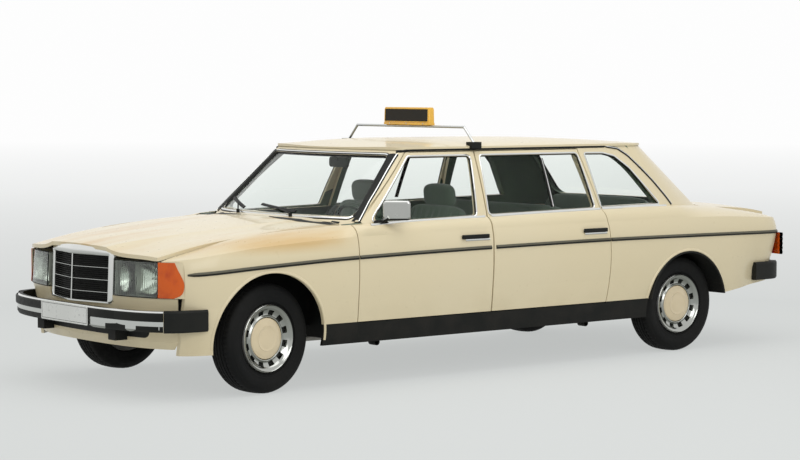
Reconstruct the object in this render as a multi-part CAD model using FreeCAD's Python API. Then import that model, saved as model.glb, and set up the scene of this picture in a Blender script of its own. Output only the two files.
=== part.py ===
"""Long-wheelbase saloon taxi, late 1970s pattern, four doors and three rows of seats.

Row frame: +X towards the nose, +Y to the car's left, +Z up, millimetres.
The origin is on the ground, below the middle of the car's length and width.
"""

import FreeCAD, Part
import math
import os

V = FreeCAD.Vector
X_AXIS = V(1, 0, 0)
Y_AXIS = V(0, 1, 0)
Z_AXIS = V(0, 0, 1)
ORIGIN = V(0, 0, 0)

# Overall sizes
LENGTH = 5355.0
WIDTH = 1786.0
WHEELBASE = 3425.0
FRONT_OVERHANG = 848.0
FRONT_TRACK = 1488.0
REAR_TRACK = 1446.0
FRONT_AXLE_X = LENGTH / 2 - FRONT_OVERHANG
REAR_AXLE_X = FRONT_AXLE_X - WHEELBASE
HALF_WIDTH = WIDTH / 2

# Gaps
SHUT_GAP = 6.0
MIDDLE_GAP = 10.0
SEAT_GAP = 0.3

# Walls
SKIN_T = 20.0
RABBET_GAP = 7.0
DOOR_T = 90.0
FLANGE = 18.0
LID_T = 22.0
ROOF_T = 24.0
GLASS_T = 5.0

# Plan of the body at its widest level: flat sides that end in superellipse corners
BUMPER_DEPTH = 88.0
NOSE_X = LENGTH / 2 - BUMPER_DEPTH
TAIL_X = -LENGTH / 2 + 66.0
FRONT_CORNER_X = 2000.0
REAR_CORNER_X = -2050.0
FRONT_POWERS = (4.0, 2.6)
REAR_POWERS = (7.0, 7.0)

# Heights along the side, as (x, z) from tail to nose
SILL_BOTTOM_Z = 256.0
DOOR_BOTTOM_Z = 382.0
CREASE_Z = 525.0
BELT_X_FRONT = 1190.0
STRIP_LINE = ((-2620, 776), (-860, 787), (170, 781), (1220, 765), (1940, 738), (2400, 714), (2600, 706))
SHOULDER_LINE = (
    (-2640, 868), (-1800, 902), (-860, 903), (150, 898), (1200, 886), (1980, 846), (2450, 792), (2600, 775),
)
TOP_LINE = (
    (-2640, 893), (-2480, 922), (-2270, 942), (-1900, 968), (-1480, 984), (-830, 986), (140, 968),
    (1190, 953), (1450, 940), (1680, 926), (2000, 893), (2300, 848), (2450, 815), (2600, 792),
)
# How far each level of the side stands in from the widest line
SILL_INSET = 40.0
DOOR_BOTTOM_INSET = 24.0
CREASE_INSET = 7.0
SHOULDER_INSET = 19.0
TOP_INSET = (
    (-2640, 235), (-2000, 235), (-1860, 200), (-1500, 76), (1180, 74), (1260, 128), (1350, 184), (1450, 190),
    (2600, 192),
)
BAND_BULGES = (0.0, 2.0, 6.0, 5.0, 9.0)
# The lower side draws in towards the tail, behind the bumper's corner
TUCK_START_X = -2080.0
TUCK_RUN = 230.0
TUCK = 42.0

# Front wheels stand turned to the left, as the car is parked
STEER_REST = 8.0
KINGPIN_Y = 690.0
WHEEL_R = 320.0
TYRE_W = 185.0
RIM_R = 196.0
STUB_R = 30.0


def between(table, x):
    """Smooth value at x on a line of (x, value) points: cubic pieces with limited slopes."""
    if x <= table[0][0]:
        return float(table[0][1])
    if x >= table[-1][0]:
        return float(table[-1][1])
    i = max(k for k in range(len(table) - 1) if table[k][0] <= x)

    def slope(k):
        if k <= 0 or k >= len(table) - 1:
            j = min(max(k, 1), len(table) - 1)
            return (table[j][1] - table[j - 1][1]) / (table[j][0] - table[j - 1][0])
        before = (table[k][1] - table[k - 1][1]) / (table[k][0] - table[k - 1][0])
        after = (table[k + 1][1] - table[k][1]) / (table[k + 1][0] - table[k][0])
        if before * after <= 0:
            return 0.0
        return 2 * before * after / (before + after)

    x0, y0 = table[i]
    x1, y1 = table[i + 1]
    h = x1 - x0
    t = (x - x0) / h
    a = (1 + 2 * t) * (1 - t) ** 2
    b = t * (1 - t) ** 2
    c = t * t * (3 - 2 * t)
    d = t * t * (t - 1)
    return a * y0 + b * h * slope(i) + c * y1 + d * h * slope(i + 1)


def curve(points):
    """Edge through points: a line through two, a smooth curve through more."""
    points = [V(*p) for p in points]
    if len(points) == 2:
        return Part.LineSegment(points[0], points[1]).toShape()
    spline = Part.BSplineCurve()
    spline.interpolate(points)
    return spline.toShape()


def chain(runs):
    """Closed wire from runs of points, where each run starts at the end of the one before."""
    return Part.Wire([curve(run) for run in runs])


def polygon(points):
    return Part.makePolygon([V(*p) for p in points] + [V(*points[0])])


def loft(wires, ruled=False):
    return Part.makeLoft(wires, True, ruled)


def box(low, high):
    return Part.makeBox(high[0] - low[0], high[1] - low[1], high[2] - low[2], V(*low))


def mirrored(shape):
    return shape.mirror(ORIGIN, Y_AXIS)


def largest(shape):
    """The biggest solid of a cut, without slivers."""
    return max(shape.Solids, key=lambda s: s.Volume)


def joined(shapes):
    """One solid from pieces that share faces or overlap, joined one after the other."""
    whole = shapes[0]
    for shape in shapes[1:]:
        whole = whole.fuse(shape)
    return largest(whole.removeSplitter())


def side_prism(runs, y_low=300.0, y_high=1100.0):
    """Prism along Y over a closed outline given as runs of (x, z) points."""
    wire = chain([[(x, y_low, z) for x, z in run] for run in runs])
    return Part.Face(wire).extrude(V(0, y_high - y_low, 0))


def plan_prism(runs, z_low, z_high):
    """Prism along Z over a closed outline given as runs of (x, y) points."""
    wire = chain([[(x, y, z_low) for x, y in run] for run in runs])
    return Part.Face(wire).extrude(V(0, 0, z_high - z_low))


# Plan stations: ("F", angle) on the nose corner, ("S", x) on the side, ("R", angle) on the tail corner


def superellipse(angle, long_axis, wide_axis, powers):
    a = math.radians(angle)
    forward = long_axis * max(math.cos(a), 0.0) ** (2 / powers[0])
    out = wide_axis * max(math.sin(a), 0.0) ** (2 / powers[1])
    return forward, out


def plan_point(station, inset):
    """Point (x, y) on the body's plan, moved in from the widest line by inset."""
    kind, value = station
    if kind == "F":
        along, out = superellipse(value, NOSE_X - FRONT_CORNER_X - inset, HALF_WIDTH - inset, FRONT_POWERS)
        return FRONT_CORNER_X + along, out
    if kind == "R":
        along, out = superellipse(value, REAR_CORNER_X - TAIL_X - inset, HALF_WIDTH - inset, REAR_POWERS)
        return REAR_CORNER_X - along, out
    return value, HALF_WIDTH - inset


def away_from_cabin(x):
    """0 beside the cabin, 1 over the engine bay and the boot."""
    if x > 0:
        t = (x - 1230.0) / 220.0
    else:
        t = (-1450.0 - x) / 300.0
    return smooth_step(t)


def smooth_step(t):
    t = min(max(t, 0.0), 1.0)
    return t * t * (3 - 2 * t)


def side_levels(x):
    """(z, inset, how far the level sinks with depth) for each level of the side at x."""
    sink = away_from_cabin(x)
    tuck = TUCK * smooth_step((TUCK_START_X - x) / TUCK_RUN)
    return (
        (SILL_BOTTOM_Z, SILL_INSET + tuck, 0.0),
        (DOOR_BOTTOM_Z, DOOR_BOTTOM_INSET + tuck, 0.0),
        (CREASE_Z, CREASE_INSET + tuck, 0.0),
        (between(STRIP_LINE, x), 0.0, 0.0),
        (between(SHOULDER_LINE, x), SHOULDER_INSET, 0.45 * sink),
        (between(TOP_LINE, x), between(TOP_INSET, x), sink),
    )


def side_path(station, depth):
    """Runs of points up the side at a station, depth inside the skin."""
    x_base = plan_point(station, 0.0)[0]
    levels = side_levels(x_base)
    points = []
    for z, inset, sink in levels:
        x, y = plan_point(station, inset + depth)
        points.append((x, y, z - depth * sink))
    runs = []
    for k in range(len(points) - 1):
        z0, in0, sink0 = levels[k]
        z1, in1, sink1 = levels[k + 1]
        x, y = plan_point(station, (in0 + in1) / 2 - BAND_BULGES[k] + depth)
        lift = BAND_BULGES[k] if k == len(points) - 2 else 0.0
        middle = (x, y, (z0 + z1) / 2 + lift - depth * (sink0 + sink1) / 2)
        runs.append([points[k], middle, points[k + 1]])
    return runs


SIDE_STATIONS = (
    [("F", a) for a in (36, 44, 52, 60, 69, 79)]
    + [("S", x) for x in (2000, 1740, 1480, 1300, 1180, 900, 600, 200, -200, -600, -1000)]
    + [("S", x) for x in (-1400, -1560, -1720, -1880, -2050)]
    + [("R", a) for a in (89.5, 87, 78, 66, 54, 44, 36, 28, 22, 18)]
)


def side_slab(depth_out, depth_in, stations=None):
    """Wall between two depths inside the left side, from the nose corner to the tail corner."""
    wires = []
    for station in stations or SIDE_STATIONS:
        outer = side_path(station, depth_out)
        inner = side_path(station, depth_in)
        back = [list(reversed(run)) for run in reversed(inner)]
        top = [[outer[-1][-1], back[0][0]]]
        bottom = [[back[-1][-1], outer[0][0]]]
        wires.append(chain(outer + top + back + bottom))
    return loft(wires)


# Glass house: three outlines, at the belt, half way up and at the drip rail

BELT_Z = 925.0
MIDDLE_Z = 1165.0
RAIL_Z = 1385.0
BELT_OUTLINE = {
    "front": 1300.0, "a_post": (1150.0, 722.0), "side_front": (1075.0, 818.0), "side": (0.0, 836.0),
    "side_rear": (-1460.0, 822.0), "c_post": (-1930.0, 676.0), "rear": -2005.0, "z": BELT_Z,
}
RAIL_OUTLINE = {
    "front": 782.0, "a_post": (702.0, 588.0), "side_front": (640.0, 630.0), "side": (-250.0, 640.0),
    "side_rear": (-1245.0, 628.0), "c_post": (-1432.0, 566.0), "rear": -1482.0, "z": RAIL_Z,
}
BARREL = 9.0


def mix(a, b, t):
    if isinstance(a, tuple):
        return tuple(mix(p, q, t) for p, q in zip(a, b))
    return a + (b - a) * t


def house_level(z):
    """Outline sizes at height z, with the sides bowed out a little between belt and rail."""
    t = (z - BELT_Z) / (RAIL_Z - BELT_Z)
    level = {k: mix(BELT_OUTLINE[k], RAIL_OUTLINE[k], t) for k in BELT_OUTLINE}
    bow = BARREL * 4 * t * (1 - t)
    for key in ("side_front", "side", "side_rear"):
        level[key] = (level[key][0], level[key][1] + bow)
    return level


def house_outline(z, inset):
    """Closed wire round the glass house at height z, moved in by inset."""
    s = house_level(z)
    front, rear = s["front"] - inset, s["rear"] + inset
    a_post = (s["a_post"][0] - inset, s["a_post"][1] - inset * 0.6)
    c_post = (s["c_post"][0] + inset, s["c_post"][1] - inset * 0.6)
    side_front = (s["side_front"][0] - inset * 0.6, s["side_front"][1] - inset)
    side = (s["side"][0], s["side"][1] - inset)
    side_rear = (s["side_rear"][0] + inset * 0.3, s["side_rear"][1] - inset)
    post_mid = (mix(a_post[0], side_front[0], 0.5) + 14.0, mix(a_post[1], side_front[1], 0.5) + 14.0)
    quarter = [
        (mix(side_rear[0], c_post[0], t), mix(side_rear[1], c_post[1], t) + rise)
        for t, rise in ((0.35, 30.0), (0.72, 27.0))
    ]

    def flip(p):
        return (p[0], -p[1])

    left = [
        [a_post, post_mid, side_front],
        [side_front, side, side_rear],
        [side_rear] + quarter + [c_post],
    ]
    right = [[flip(p) for p in reversed(run)] for run in reversed(left)]
    front_run = [flip(a_post), (front, 0.0), a_post]
    rear_run = [c_post, (rear, 0.0), flip(c_post)]
    runs = [front_run] + left + [rear_run] + right
    return chain([[(x, y, z) for x, y in run] for run in runs])


def house_solid(inset, z_low=BELT_Z, z_high=RAIL_Z):
    middle = (z_low + z_high) / 2
    return loft([house_outline(z, inset) for z in (z_low, middle, z_high)])


def house_wall(inset_out, inset_in):
    return house_solid(inset_out).cut(house_solid(inset_in, BELT_Z - 5.0, RAIL_Z + 5.0))


# Shut lines in side view, as points (x, z) from the top down

DOOR_TOP_Z = 1368.0
SPLIT_FRONT = ((1196.0, 952.0), (1199.0, 770.0), (1194.0, DOOR_BOTTOM_Z))
SPLIT_MIDDLE = ((143.0, 962.0), (150.0, 765.0), (149.0, DOOR_BOTTOM_Z))
SPLIT_REAR = ((-843.0, 980.0), (-863.0, 782.0), (-845.0, DOOR_BOTTOM_Z))
MIDDLE_TOP_X = 108.0
REAR_TOP_X = -790.0
A_FRAME_FOOT = (1104.0, 955.0)
A_FRAME_TOP = (668.0, 1352.0)
A_FRAME_CROWN = (618.0, DOOR_TOP_Z)


def offset_line(points, dx, dz=0.0):
    return [(x + dx, z + dz) for x, z in points]


def front_door_outline(grow=0.0):
    """Closed runs round the front door; grow moves every edge out."""
    g = grow
    foot_line = offset_line(SPLIT_FRONT, g)
    foot_line[-1] = (foot_line[-1][0], foot_line[-1][1] - g)
    rear_line = offset_line(SPLIT_MIDDLE, -g)
    rear_line[-1] = (rear_line[-1][0], rear_line[-1][1] - g)
    top_rear = (MIDDLE_TOP_X - g, DOOR_TOP_Z + g)
    post_foot = (A_FRAME_FOOT[0] + g, A_FRAME_FOOT[1] + g)
    post_top = (A_FRAME_TOP[0] + g * 0.75, A_FRAME_TOP[1] + g * 0.75)
    crown = (A_FRAME_CROWN[0] + g * 0.3, A_FRAME_CROWN[1] + g)
    belt_front = (foot_line[0][0], foot_line[0][1] + g)
    crown_mid = (mix(post_top[0], crown[0], 0.5) + 8.0, mix(post_top[1], crown[1], 0.5) + 6.0)
    return [
        [belt_front] + foot_line[1:],
        [foot_line[-1], rear_line[-1]],
        list(reversed(rear_line)),
        [rear_line[0], top_rear],
        [top_rear, crown],
        [crown, crown_mid, post_top],
        [post_top, post_foot],
        [post_foot, belt_front],
    ]


def rear_door_outline(grow=0.0):
    """Closed runs round the rear door; grow moves every edge out."""
    g = grow
    front_line = offset_line(SPLIT_MIDDLE, g - MIDDLE_GAP)
    front_line[-1] = (front_line[-1][0], front_line[-1][1] - g)
    rear_line = offset_line(SPLIT_REAR, -g)
    rear_line[-1] = (rear_line[-1][0], rear_line[-1][1] - g)
    top_front = (MIDDLE_TOP_X - MIDDLE_GAP + g, DOOR_TOP_Z + g)
    top_rear = (REAR_TOP_X - g, DOOR_TOP_Z + g)
    return [
        front_line,
        [front_line[-1], rear_line[-1]],
        list(reversed(rear_line)),
        [rear_line[0], top_rear],
        [top_rear, top_front],
        [top_front, front_line[0]],
    ]


WINDOW_TOP_Z = 1340.0
WINDOW_CORNER_R = 22.0
FRONT_WINDOW = ((1046.0, 962.0), (640.0, WINDOW_TOP_Z), (150.0, WINDOW_TOP_Z), (226.0, 980.0))
REAR_WINDOW = ((64.0, WINDOW_TOP_Z), (-772.0, WINDOW_TOP_Z), (-796.0, 995.0), (116.0, 982.0))
QUARTER_TOP = ((-848.0, WINDOW_TOP_Z - 2.0), (-1010.0, WINDOW_TOP_Z - 4.0))
QUARTER_BOW = (-1215.0, 1235.0)
QUARTER_TIP = (-1402.0, 1003.0)
QUARTER_FOOT = (-866.0, 997.0)


def window_prism(points, y_low=500.0, y_high=1000.0):
    """Prism along Y over a window with rounded corners."""
    flat = polygon([(x, y_low, z) for x, z in points])
    solid = Part.Face(flat).extrude(V(0, y_high - y_low, 0))
    upright = [e for e in solid.Edges if abs(e.tangentAt(e.FirstParameter).y) > 0.99]
    return solid.makeFillet(WINDOW_CORNER_R, upright)


def quarter_window_prism(y_low=500.0, y_high=1000.0):
    runs = [
        [QUARTER_FOOT, QUARTER_TOP[0]],
        [QUARTER_TOP[0], QUARTER_TOP[1]],
        [QUARTER_TOP[1], (-1110.0, 1315.0), QUARTER_BOW, QUARTER_TIP],
        [QUARTER_TIP, QUARTER_FOOT],
    ]
    return side_prism(runs, y_low, y_high)


# Wheel arches: circles in side view, the front one with a raked leading edge

FRONT_ARCH_R = 386.0
FRONT_ARCH_RAKE = 50.0
REAR_ARCH_R = 362.0
ARCH_Z = 318.0


def arch_prism(axle_x, radius, rake=0.0):
    """Prism along Y that cuts a wheel arch."""
    round_part = Part.makeCylinder(radius, 700.0, V(axle_x, 400.0, ARCH_Z), Y_AXIS)
    low = ARCH_Z - radius
    width = radius * 0.97
    skirt = side_prism(
        [
            [(axle_x - width, ARCH_Z + 95.0), (axle_x - width, low)],
            [(axle_x - width, low), (axle_x + width + rake, low)],
            [(axle_x + width + rake, low), (axle_x + width * 0.93, ARCH_Z + 150.0)],
            [(axle_x + width * 0.93, ARCH_Z + 150.0), (axle_x - width, ARCH_Z + 95.0)],
        ],
        400.0,
        1100.0,
    )
    return round_part.fuse(skirt)


# Bonnet and boot lid: sections across the car

BONNET_CENTRE = ((1150, 988), (1400, 974), (1700, 953), (2000, 927), (2300, 900), (2480, 878), (2600, 858))
BONNET_CREASE_Y = ((1150, 430), (1400, 405), (1700, 374), (2000, 346), (2300, 320), (2600, 300))
BONNET_CREASE_DROP = 9.0
BONNET_EDGE_Y = 702.0
DECK_CENTRE = ((-2640, 903), (-2560, 934), (-2480, 949), (-2270, 966), (-1950, 985), (-1800, 990))
DECK_EDGE_Y = 655.0


def cross_section(x, half, thickness):
    """Closed wire of a lid's section at x. half is the left half as runs of (y, z) from the middle out."""
    left = half
    right = [[(-y, z) for y, z in reversed(run)] for run in reversed(half)]
    top = right + left
    bottom = [[(y, z - thickness) for y, z in reversed(run)] for run in reversed(top)]
    end_left = [[top[-1][-1], bottom[0][0]]]
    end_right = [[bottom[-1][-1], top[0][0]]]
    return chain([[(x, y, z) for y, z in run] for run in top + end_left + bottom + end_right])


def bonnet_half(x):
    """Left half of the bonnet's section: crowned middle, crease, then the flank down to the edge."""
    centre = between(BONNET_CENTRE, x)
    crease_y = between(BONNET_CREASE_Y, x)
    crease_z = centre - BONNET_CREASE_DROP
    edge_z = between(TOP_LINE, x)
    crown = [(0.0, centre), (crease_y * 0.5, centre - BONNET_CREASE_DROP * 0.25), (crease_y, crease_z)]
    flank = [
        (crease_y, crease_z),
        (mix(crease_y, BONNET_EDGE_Y, 0.30), mix(crease_z, edge_z, 0.46)),
        (mix(crease_y, BONNET_EDGE_Y, 0.68), mix(crease_z, edge_z, 0.66)),
        (BONNET_EDGE_Y, edge_z),
    ]
    return [crown, flank]


def deck_half(x):
    """Left half of the boot lid's section."""
    centre = between(DECK_CENTRE, x)
    edge_z = between(TOP_LINE, x)
    return [[(0.0, centre), (DECK_EDGE_Y * 0.55, mix(centre, edge_z, 0.22)), (DECK_EDGE_Y, edge_z)]]


def lid_slab(xs, half_at, thickness):
    return loft([cross_section(x, half_at(x), thickness) for x in xs])


ROOF_CENTRE = (
    (-1520, 1389), (-1400, 1407), (-1100, 1429), (-500, 1443), (0, 1444), (450, 1435), (650, 1415), (820, 1390),
)
ROOF_EDGE_Y = 652.0
RAIL_LIP = 14.0
RAIL_OVERHANG = 8.0


def roof_half(x):
    """Left half of the roof's section: nearly flat, then rolled down to the drip rail."""
    centre = between(ROOF_CENTRE, x)
    drop = centre - RAIL_Z - RAIL_LIP
    shape = ((0.0, 0.0), (0.42, 0.10), (0.74, 0.36), (0.92, 0.72), (1.0, 1.0))
    return [[(ROOF_EDGE_Y * t, centre - drop * f) for t, f in shape]]


def front_plan_runs(inset, y_edge, x_back):
    """Closed plan outline of what lies behind the nose: straight sides, nose curve in front."""
    angles = [0.0, 12.0, 24.0, 33.0, 41.0, 48.0]
    side = []
    for a in angles:
        x, y = plan_point(("F", a), inset)
        if y < y_edge:
            side.append((x, y))
    end_x = side[-1][0] - (y_edge - side[-1][1]) * 0.45
    side.append((end_x, y_edge))
    nose = [(x, -y) for x, y in reversed(side[1:])] + side
    return [
        nose,
        [(end_x, y_edge), (x_back[1], y_edge)],
        [(x_back[1], y_edge), (x_back[0], 0.0), (x_back[1], -y_edge)],
        [(x_back[1], -y_edge), (end_x, -y_edge)],
    ]


BONNET_REAR = (1318.0, 1208.0)
BONNET_SIDE_Y = 698.0
BONNET_NOSE_INSET = 4.0
BOOT_FRONT = (-2012.0, -1945.0)
BOOT_SIDE_Y = 650.0


def boot_plan_runs(grow):
    """Closed plan outline of the boot lid's deck."""
    y_edge = BOOT_SIDE_Y + grow
    front_mid = BOOT_FRONT[0] + grow
    front_side = BOOT_FRONT[1] + grow
    tail = []
    for a in (0.0, 14.0, 26.0, 36.0):
        x, y = plan_point(("R", a), 3.0 - grow)
        if y < y_edge:
            tail.append((x, y))
    end_x = tail[-1][0] + (y_edge - tail[-1][1]) * 0.12
    tail.append((end_x, y_edge))
    curve_points = [(x, -y) for x, y in reversed(tail[1:])] + tail
    return [
        curve_points,
        [(end_x, y_edge), (front_side, y_edge)],
        [(front_side, y_edge), (front_mid, 0.0), (front_side, -y_edge)],
        [(front_side, -y_edge), (end_x, -y_edge)],
    ]


def nose_loft(levels, angles):
    """Solid that wraps the nose between two plan curves; levels are (z, outer inset, inner inset)."""
    wires = []
    for a in angles:
        side = -1.0 if a < 0 else 1.0
        outer = []
        inner = []
        for z, inset_out, inset_in in levels:
            x, y = plan_point(("F", abs(a)), inset_out)
            outer.append((x, side * y, z))
            x, y = plan_point(("F", abs(a)), inset_in)
            inner.append((x, side * y, z))
        wires.append(polygon(outer + list(reversed(inner))))
    return loft(wires)


def tail_loft(levels, angles):
    """Solid that wraps the tail between two plan curves; levels are (z, outer inset, inner inset)."""
    wires = []
    for a in angles:
        side = -1.0 if a < 0 else 1.0
        outer = []
        inner = []
        for z, inset_out, inset_in in levels:
            x, y = plan_point(("R", abs(a)), inset_out)
            outer.append((x, side * y, z))
            x, y = plan_point(("R", abs(a)), inset_in)
            inner.append((x, side * y, z))
        wires.append(polygon(outer + list(reversed(inner))))
    return loft(wires)


def both_signs(angles):
    """Angles from the right end round the middle to the left end."""
    return [-a for a in reversed(angles) if a > 0] + [0.0] + [a for a in angles if a > 0]


# Depths of the house walls: the outer layer holds the door frames, the inner layer their flanges
HOUSE_OUTER = 26.0
HOUSE_INNER = 58.0
TUB_DEPTH = 97.0
SIDE_WALL_T = 30.0
INNER_INSET = 34.0
POST_DEPTH = 50.0
WAY_DEPTH = 76.0
POST_FOOT_Z = 966.0
DOOR_ZONE = (-960.0, 1202.0)
SILL_FRONT_X = 1190.0

# Lamps, and the panels that end beside them
TAIL_PANEL_HALF = 700.0
TAIL_LAMP_Z = (614.0, 770.0)
TAIL_LAMP_FRONT_X = -2541.0
TAIL_LAMP_INNER_Y = 446.0
LAMP_Z = (583.0, 785.0)
LAMP_INNER_Y = 372.0
LAMP_OUTER_Y = 700.0
WING_FRONT_X = 2386.0
# Heights where the rear quarter's lower edge starts and ends its rise behind the wheel
QUARTER_FOOT_START = (-1820.0, 363.0)
QUARTER_FOOT_END = (-2410.0, 433.0)

# Anything that has to reach past the car on every side
FAR = 2800.0
WIDE = 1100.0
HIGH = 1200.0


def seated(piece, *others):
    """A piece with its neighbours cut out of it, so that they meet face to face."""
    for other in others:
        piece = piece.cut(other)
    return largest(piece)


# Front and rear screens: half width and height at the foot and at the top, and their corners
SCREEN = ((694.0, 990.0), (583.0, 1350.0))
SCREEN_CORNER_R = 34.0
REAR_SCREEN = ((622.0, 1010.0), (520.0, 1342.0))
REAR_SCREEN_CORNER_R = 40.0


def screen_prism(x_start, outline, corner_r):
    """Prism along X over a screen with rounded corners."""
    (foot, foot_z), (top, top_z) = outline
    corners = ((-foot, foot_z), (foot, foot_z), (top, top_z), (-top, top_z))
    solid = Part.Face(polygon([(x_start, y, z) for y, z in corners])).extrude(V(1200, 0, 0))
    edges = [e for e in solid.Edges if abs(e.tangentAt(e.FirstParameter).x) > 0.99]
    return solid.makeFillet(corner_r, edges)


def windscreen_prism():
    return screen_prism(400.0, SCREEN, SCREEN_CORNER_R)


def rear_window_prism():
    return screen_prism(-2300.0, REAR_SCREEN, REAR_SCREEN_CORNER_R)


def beside(depth):
    """Everything outside a plane that leans with the glass house, depth inside its widest line."""
    rise = RAIL_Z - BELT_Z
    low, high = BELT_OUTLINE["side"][1] - depth, RAIL_OUTLINE["side"][1] - depth
    foot_z = BELT_Z - 20.0
    foot = mix(low, high, (foot_z - BELT_Z) / rise)
    corners = ((foot, foot_z), (WIDE, foot_z), (WIDE, RAIL_Z), (high, RAIL_Z))
    flat = polygon([(-2300.0, y, z) for y, z in corners])
    return Part.Face(flat).extrude(V(3800, 0, 0))


def quarter_lower_cut():
    """What the left quarter panel loses at the rear: the raked underside and the lamp pocket."""
    start, end = QUARTER_FOOT_START, QUARTER_FOOT_END
    low_z = SILL_BOTTOM_Z - 50.0
    last = (-FAR, end[1] + 7.0)
    under = side_prism([
        [(start[0], low_z), start],
        [start, end],
        [end, last],
        [last, (-FAR, low_z)],
        [(-FAR, low_z), (start[0], low_z)],
    ])
    lamp_low, lamp_high = TAIL_LAMP_Z
    lamp = box((-FAR, 300.0, lamp_low - SEAT_GAP), (TAIL_LAMP_FRONT_X, WIDE, lamp_high + SEAT_GAP))
    corner = box((-FAR, 300.0, low_z), (end[0] + 10.0, TAIL_PANEL_HALF + SEAT_GAP, lamp_low))
    deck = plan_prism(boot_plan_runs(SHUT_GAP), lamp_high, HIGH)
    return [under, lamp, corner, deck]


def frame_pocket(outline):
    """Room for one door's window frame and its clearance in the left posts, rails and belt."""
    low = BELT_Z - RABBET_GAP
    wall = house_solid(-5.0, low).cut(house_solid(HOUSE_OUTER + RABBET_GAP, low - 5.0, RAIL_Z + 5.0))
    return largest(wall.common(side_prism(outline(SHUT_GAP))).common(beside(POST_DEPTH)))


def hinge_corner():
    """Room below the left screen post for the front door's upper corner as it swings."""
    return box((1054.0, 786.0, 933.0), (1188.0, 828.0, 958.0))


def side_frame_left():
    """Sill, hinge and lock posts, and rear quarter panel of the left side, in one welded piece."""
    outer = side_slab(0, SIDE_WALL_T).common(box((-FAR, 400, 100), (SILL_FRONT_X, WIDE, HIGH)))
    inner = side_slab(SKIN_T + RABBET_GAP, TUB_DEPTH)
    inner = inner.common(box((DOOR_ZONE[0], 400, 100), (DOOR_ZONE[1], WIDE, HIGH)))
    for outline in (front_door_outline, rear_door_outline):
        outer = outer.cut(side_prism(outline(SHUT_GAP)))
        inner = inner.cut(side_prism(outline(-FLANGE))).cut(frame_pocket(outline))
    for cutter in quarter_lower_cut() + [arch_prism(REAR_AXLE_X, REAR_ARCH_R)]:
        outer = outer.cut(cutter)
    inner = inner.cut(hinge_corner())
    return joined([largest(outer), largest(inner)])


def glass_house(side_frames):
    """Posts, rails and headers round the windows, from the belt to the roof."""
    frame = house_wall(0, HOUSE_INNER)
    for cutter in (windscreen_prism(), rear_window_prism()):
        frame = frame.cut(cutter)
    quarter = quarter_window_prism()
    post_foot = box((1000, BELT_OUTLINE["a_post"][1], 900), (1400, WIDE, POST_FOOT_Z))
    cutters = [quarter, post_foot, hinge_corner()]
    for outline in (front_door_outline, rear_door_outline):
        cutters.append(frame_pocket(outline))
        cutters.append(side_prism(outline(-FLANGE)).common(beside(WAY_DEPTH)))
    for cutter in cutters:
        frame = frame.cut(cutter).cut(mirrored(cutter))
    return seated(frame, *side_frames)


def door(outline, window):
    """One left door: outer skin, inner box, window frame."""
    whole = side_prism(outline(0.0))
    skin = side_slab(0, SKIN_T).common(whole)
    inner = side_slab(SKIN_T - 3.0, DOOR_T).common(side_prism(outline(-INNER_INSET)))
    frame = house_wall(0, HOUSE_OUTER).common(beside(POST_DEPTH)).common(whole)
    frame = frame.cut(window_prism(window))
    return joined([largest(inner), largest(frame), largest(skin)])


GLASS_DEPTH = 10.0


def pane(prism, side=True):
    """Window glass: a thin layer of the house wall inside its window's outline."""
    layer = house_wall(GLASS_DEPTH, GLASS_DEPTH + GLASS_T)
    if side:
        layer = layer.common(beside(POST_DEPTH))
    return largest(layer.common(prism))


def roof():
    """Roof skin that lies on the glass house."""
    skin = lid_slab((-1520, -1400, -1100, -500, 0, 450, 650, 820), roof_half, ROOF_T)
    trim = Part.Face(house_outline(RAIL_Z, -RAIL_OVERHANG)).extrude(V(0, 0, 120))
    return largest(skin.common(trim))


def front_wing_left():
    wing = side_slab(0, SKIN_T).common(box((SILL_FRONT_X - 40, 400, 200), (FAR, WIDE, HIGH)))
    wing = wing.cut(side_prism(wing_rear_outline()))
    wing = wing.cut(arch_prism(FRONT_AXLE_X, FRONT_ARCH_R, FRONT_ARCH_RAKE))
    wing = wing.cut(box((WING_FRONT_X, 300, 150), (FAR, WIDE, LAMP_Z[1] + SEAT_GAP)))
    mid, side = BONNET_REAR
    lid = front_plan_runs(BONNET_NOSE_INSET - SHUT_GAP, BONNET_SIDE_Y + SHUT_GAP, (mid - SHUT_GAP, side - SHUT_GAP))
    return largest(wing.cut(plan_prism(lid, LAMP_Z[1], HIGH)))


def wing_rear_outline():
    """Everything behind the front door's leading shut line."""
    line = offset_line(SPLIT_FRONT, SHUT_GAP)
    foot_x, foot_z = SILL_FRONT_X + SEAT_GAP, SILL_BOTTOM_Z - 50
    return [
        line,
        [line[-1], (foot_x, line[-1][1] - SHUT_GAP)],
        [(foot_x, line[-1][1] - SHUT_GAP), (foot_x, foot_z)],
        [(foot_x, foot_z), (1000.0, foot_z)],
        [(1000.0, foot_z), (1000.0, 1100.0)],
        [(1000.0, 1100.0), (line[0][0], 1100.0)],
        [(line[0][0], 1100.0), line[0]],
    ]


GRILLE_HALF = 345.0
GRILLE_Z = (545.0, 842.0)
GRILLE_OPEN_HALF = 312.0
GRILLE_OPEN_Z = (560.0, 806.0)
GRILLE_LEAN = 0.04
SLATS = 9
SLAT_T = 6.0

# Apron as (height, outer inset, inner inset), the air slot in it, and the wall behind the lamps
APRON_LEVELS = ((288, 66, 86), (330, 44, 64), (430, 40, 60), (520, 22, 42), (580, 8, 90))
AIR_SLOT_HALF = 560.0
AIR_SLOT_Z = (352.0, 374.0)
LAMP_WALL_LEVELS = ((570, 90, 108), (LAMP_Z[1] + 6, 104, 122))
NOSE_ANGLES = (10, 20, 30, 38, 46, 53, 60)


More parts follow.
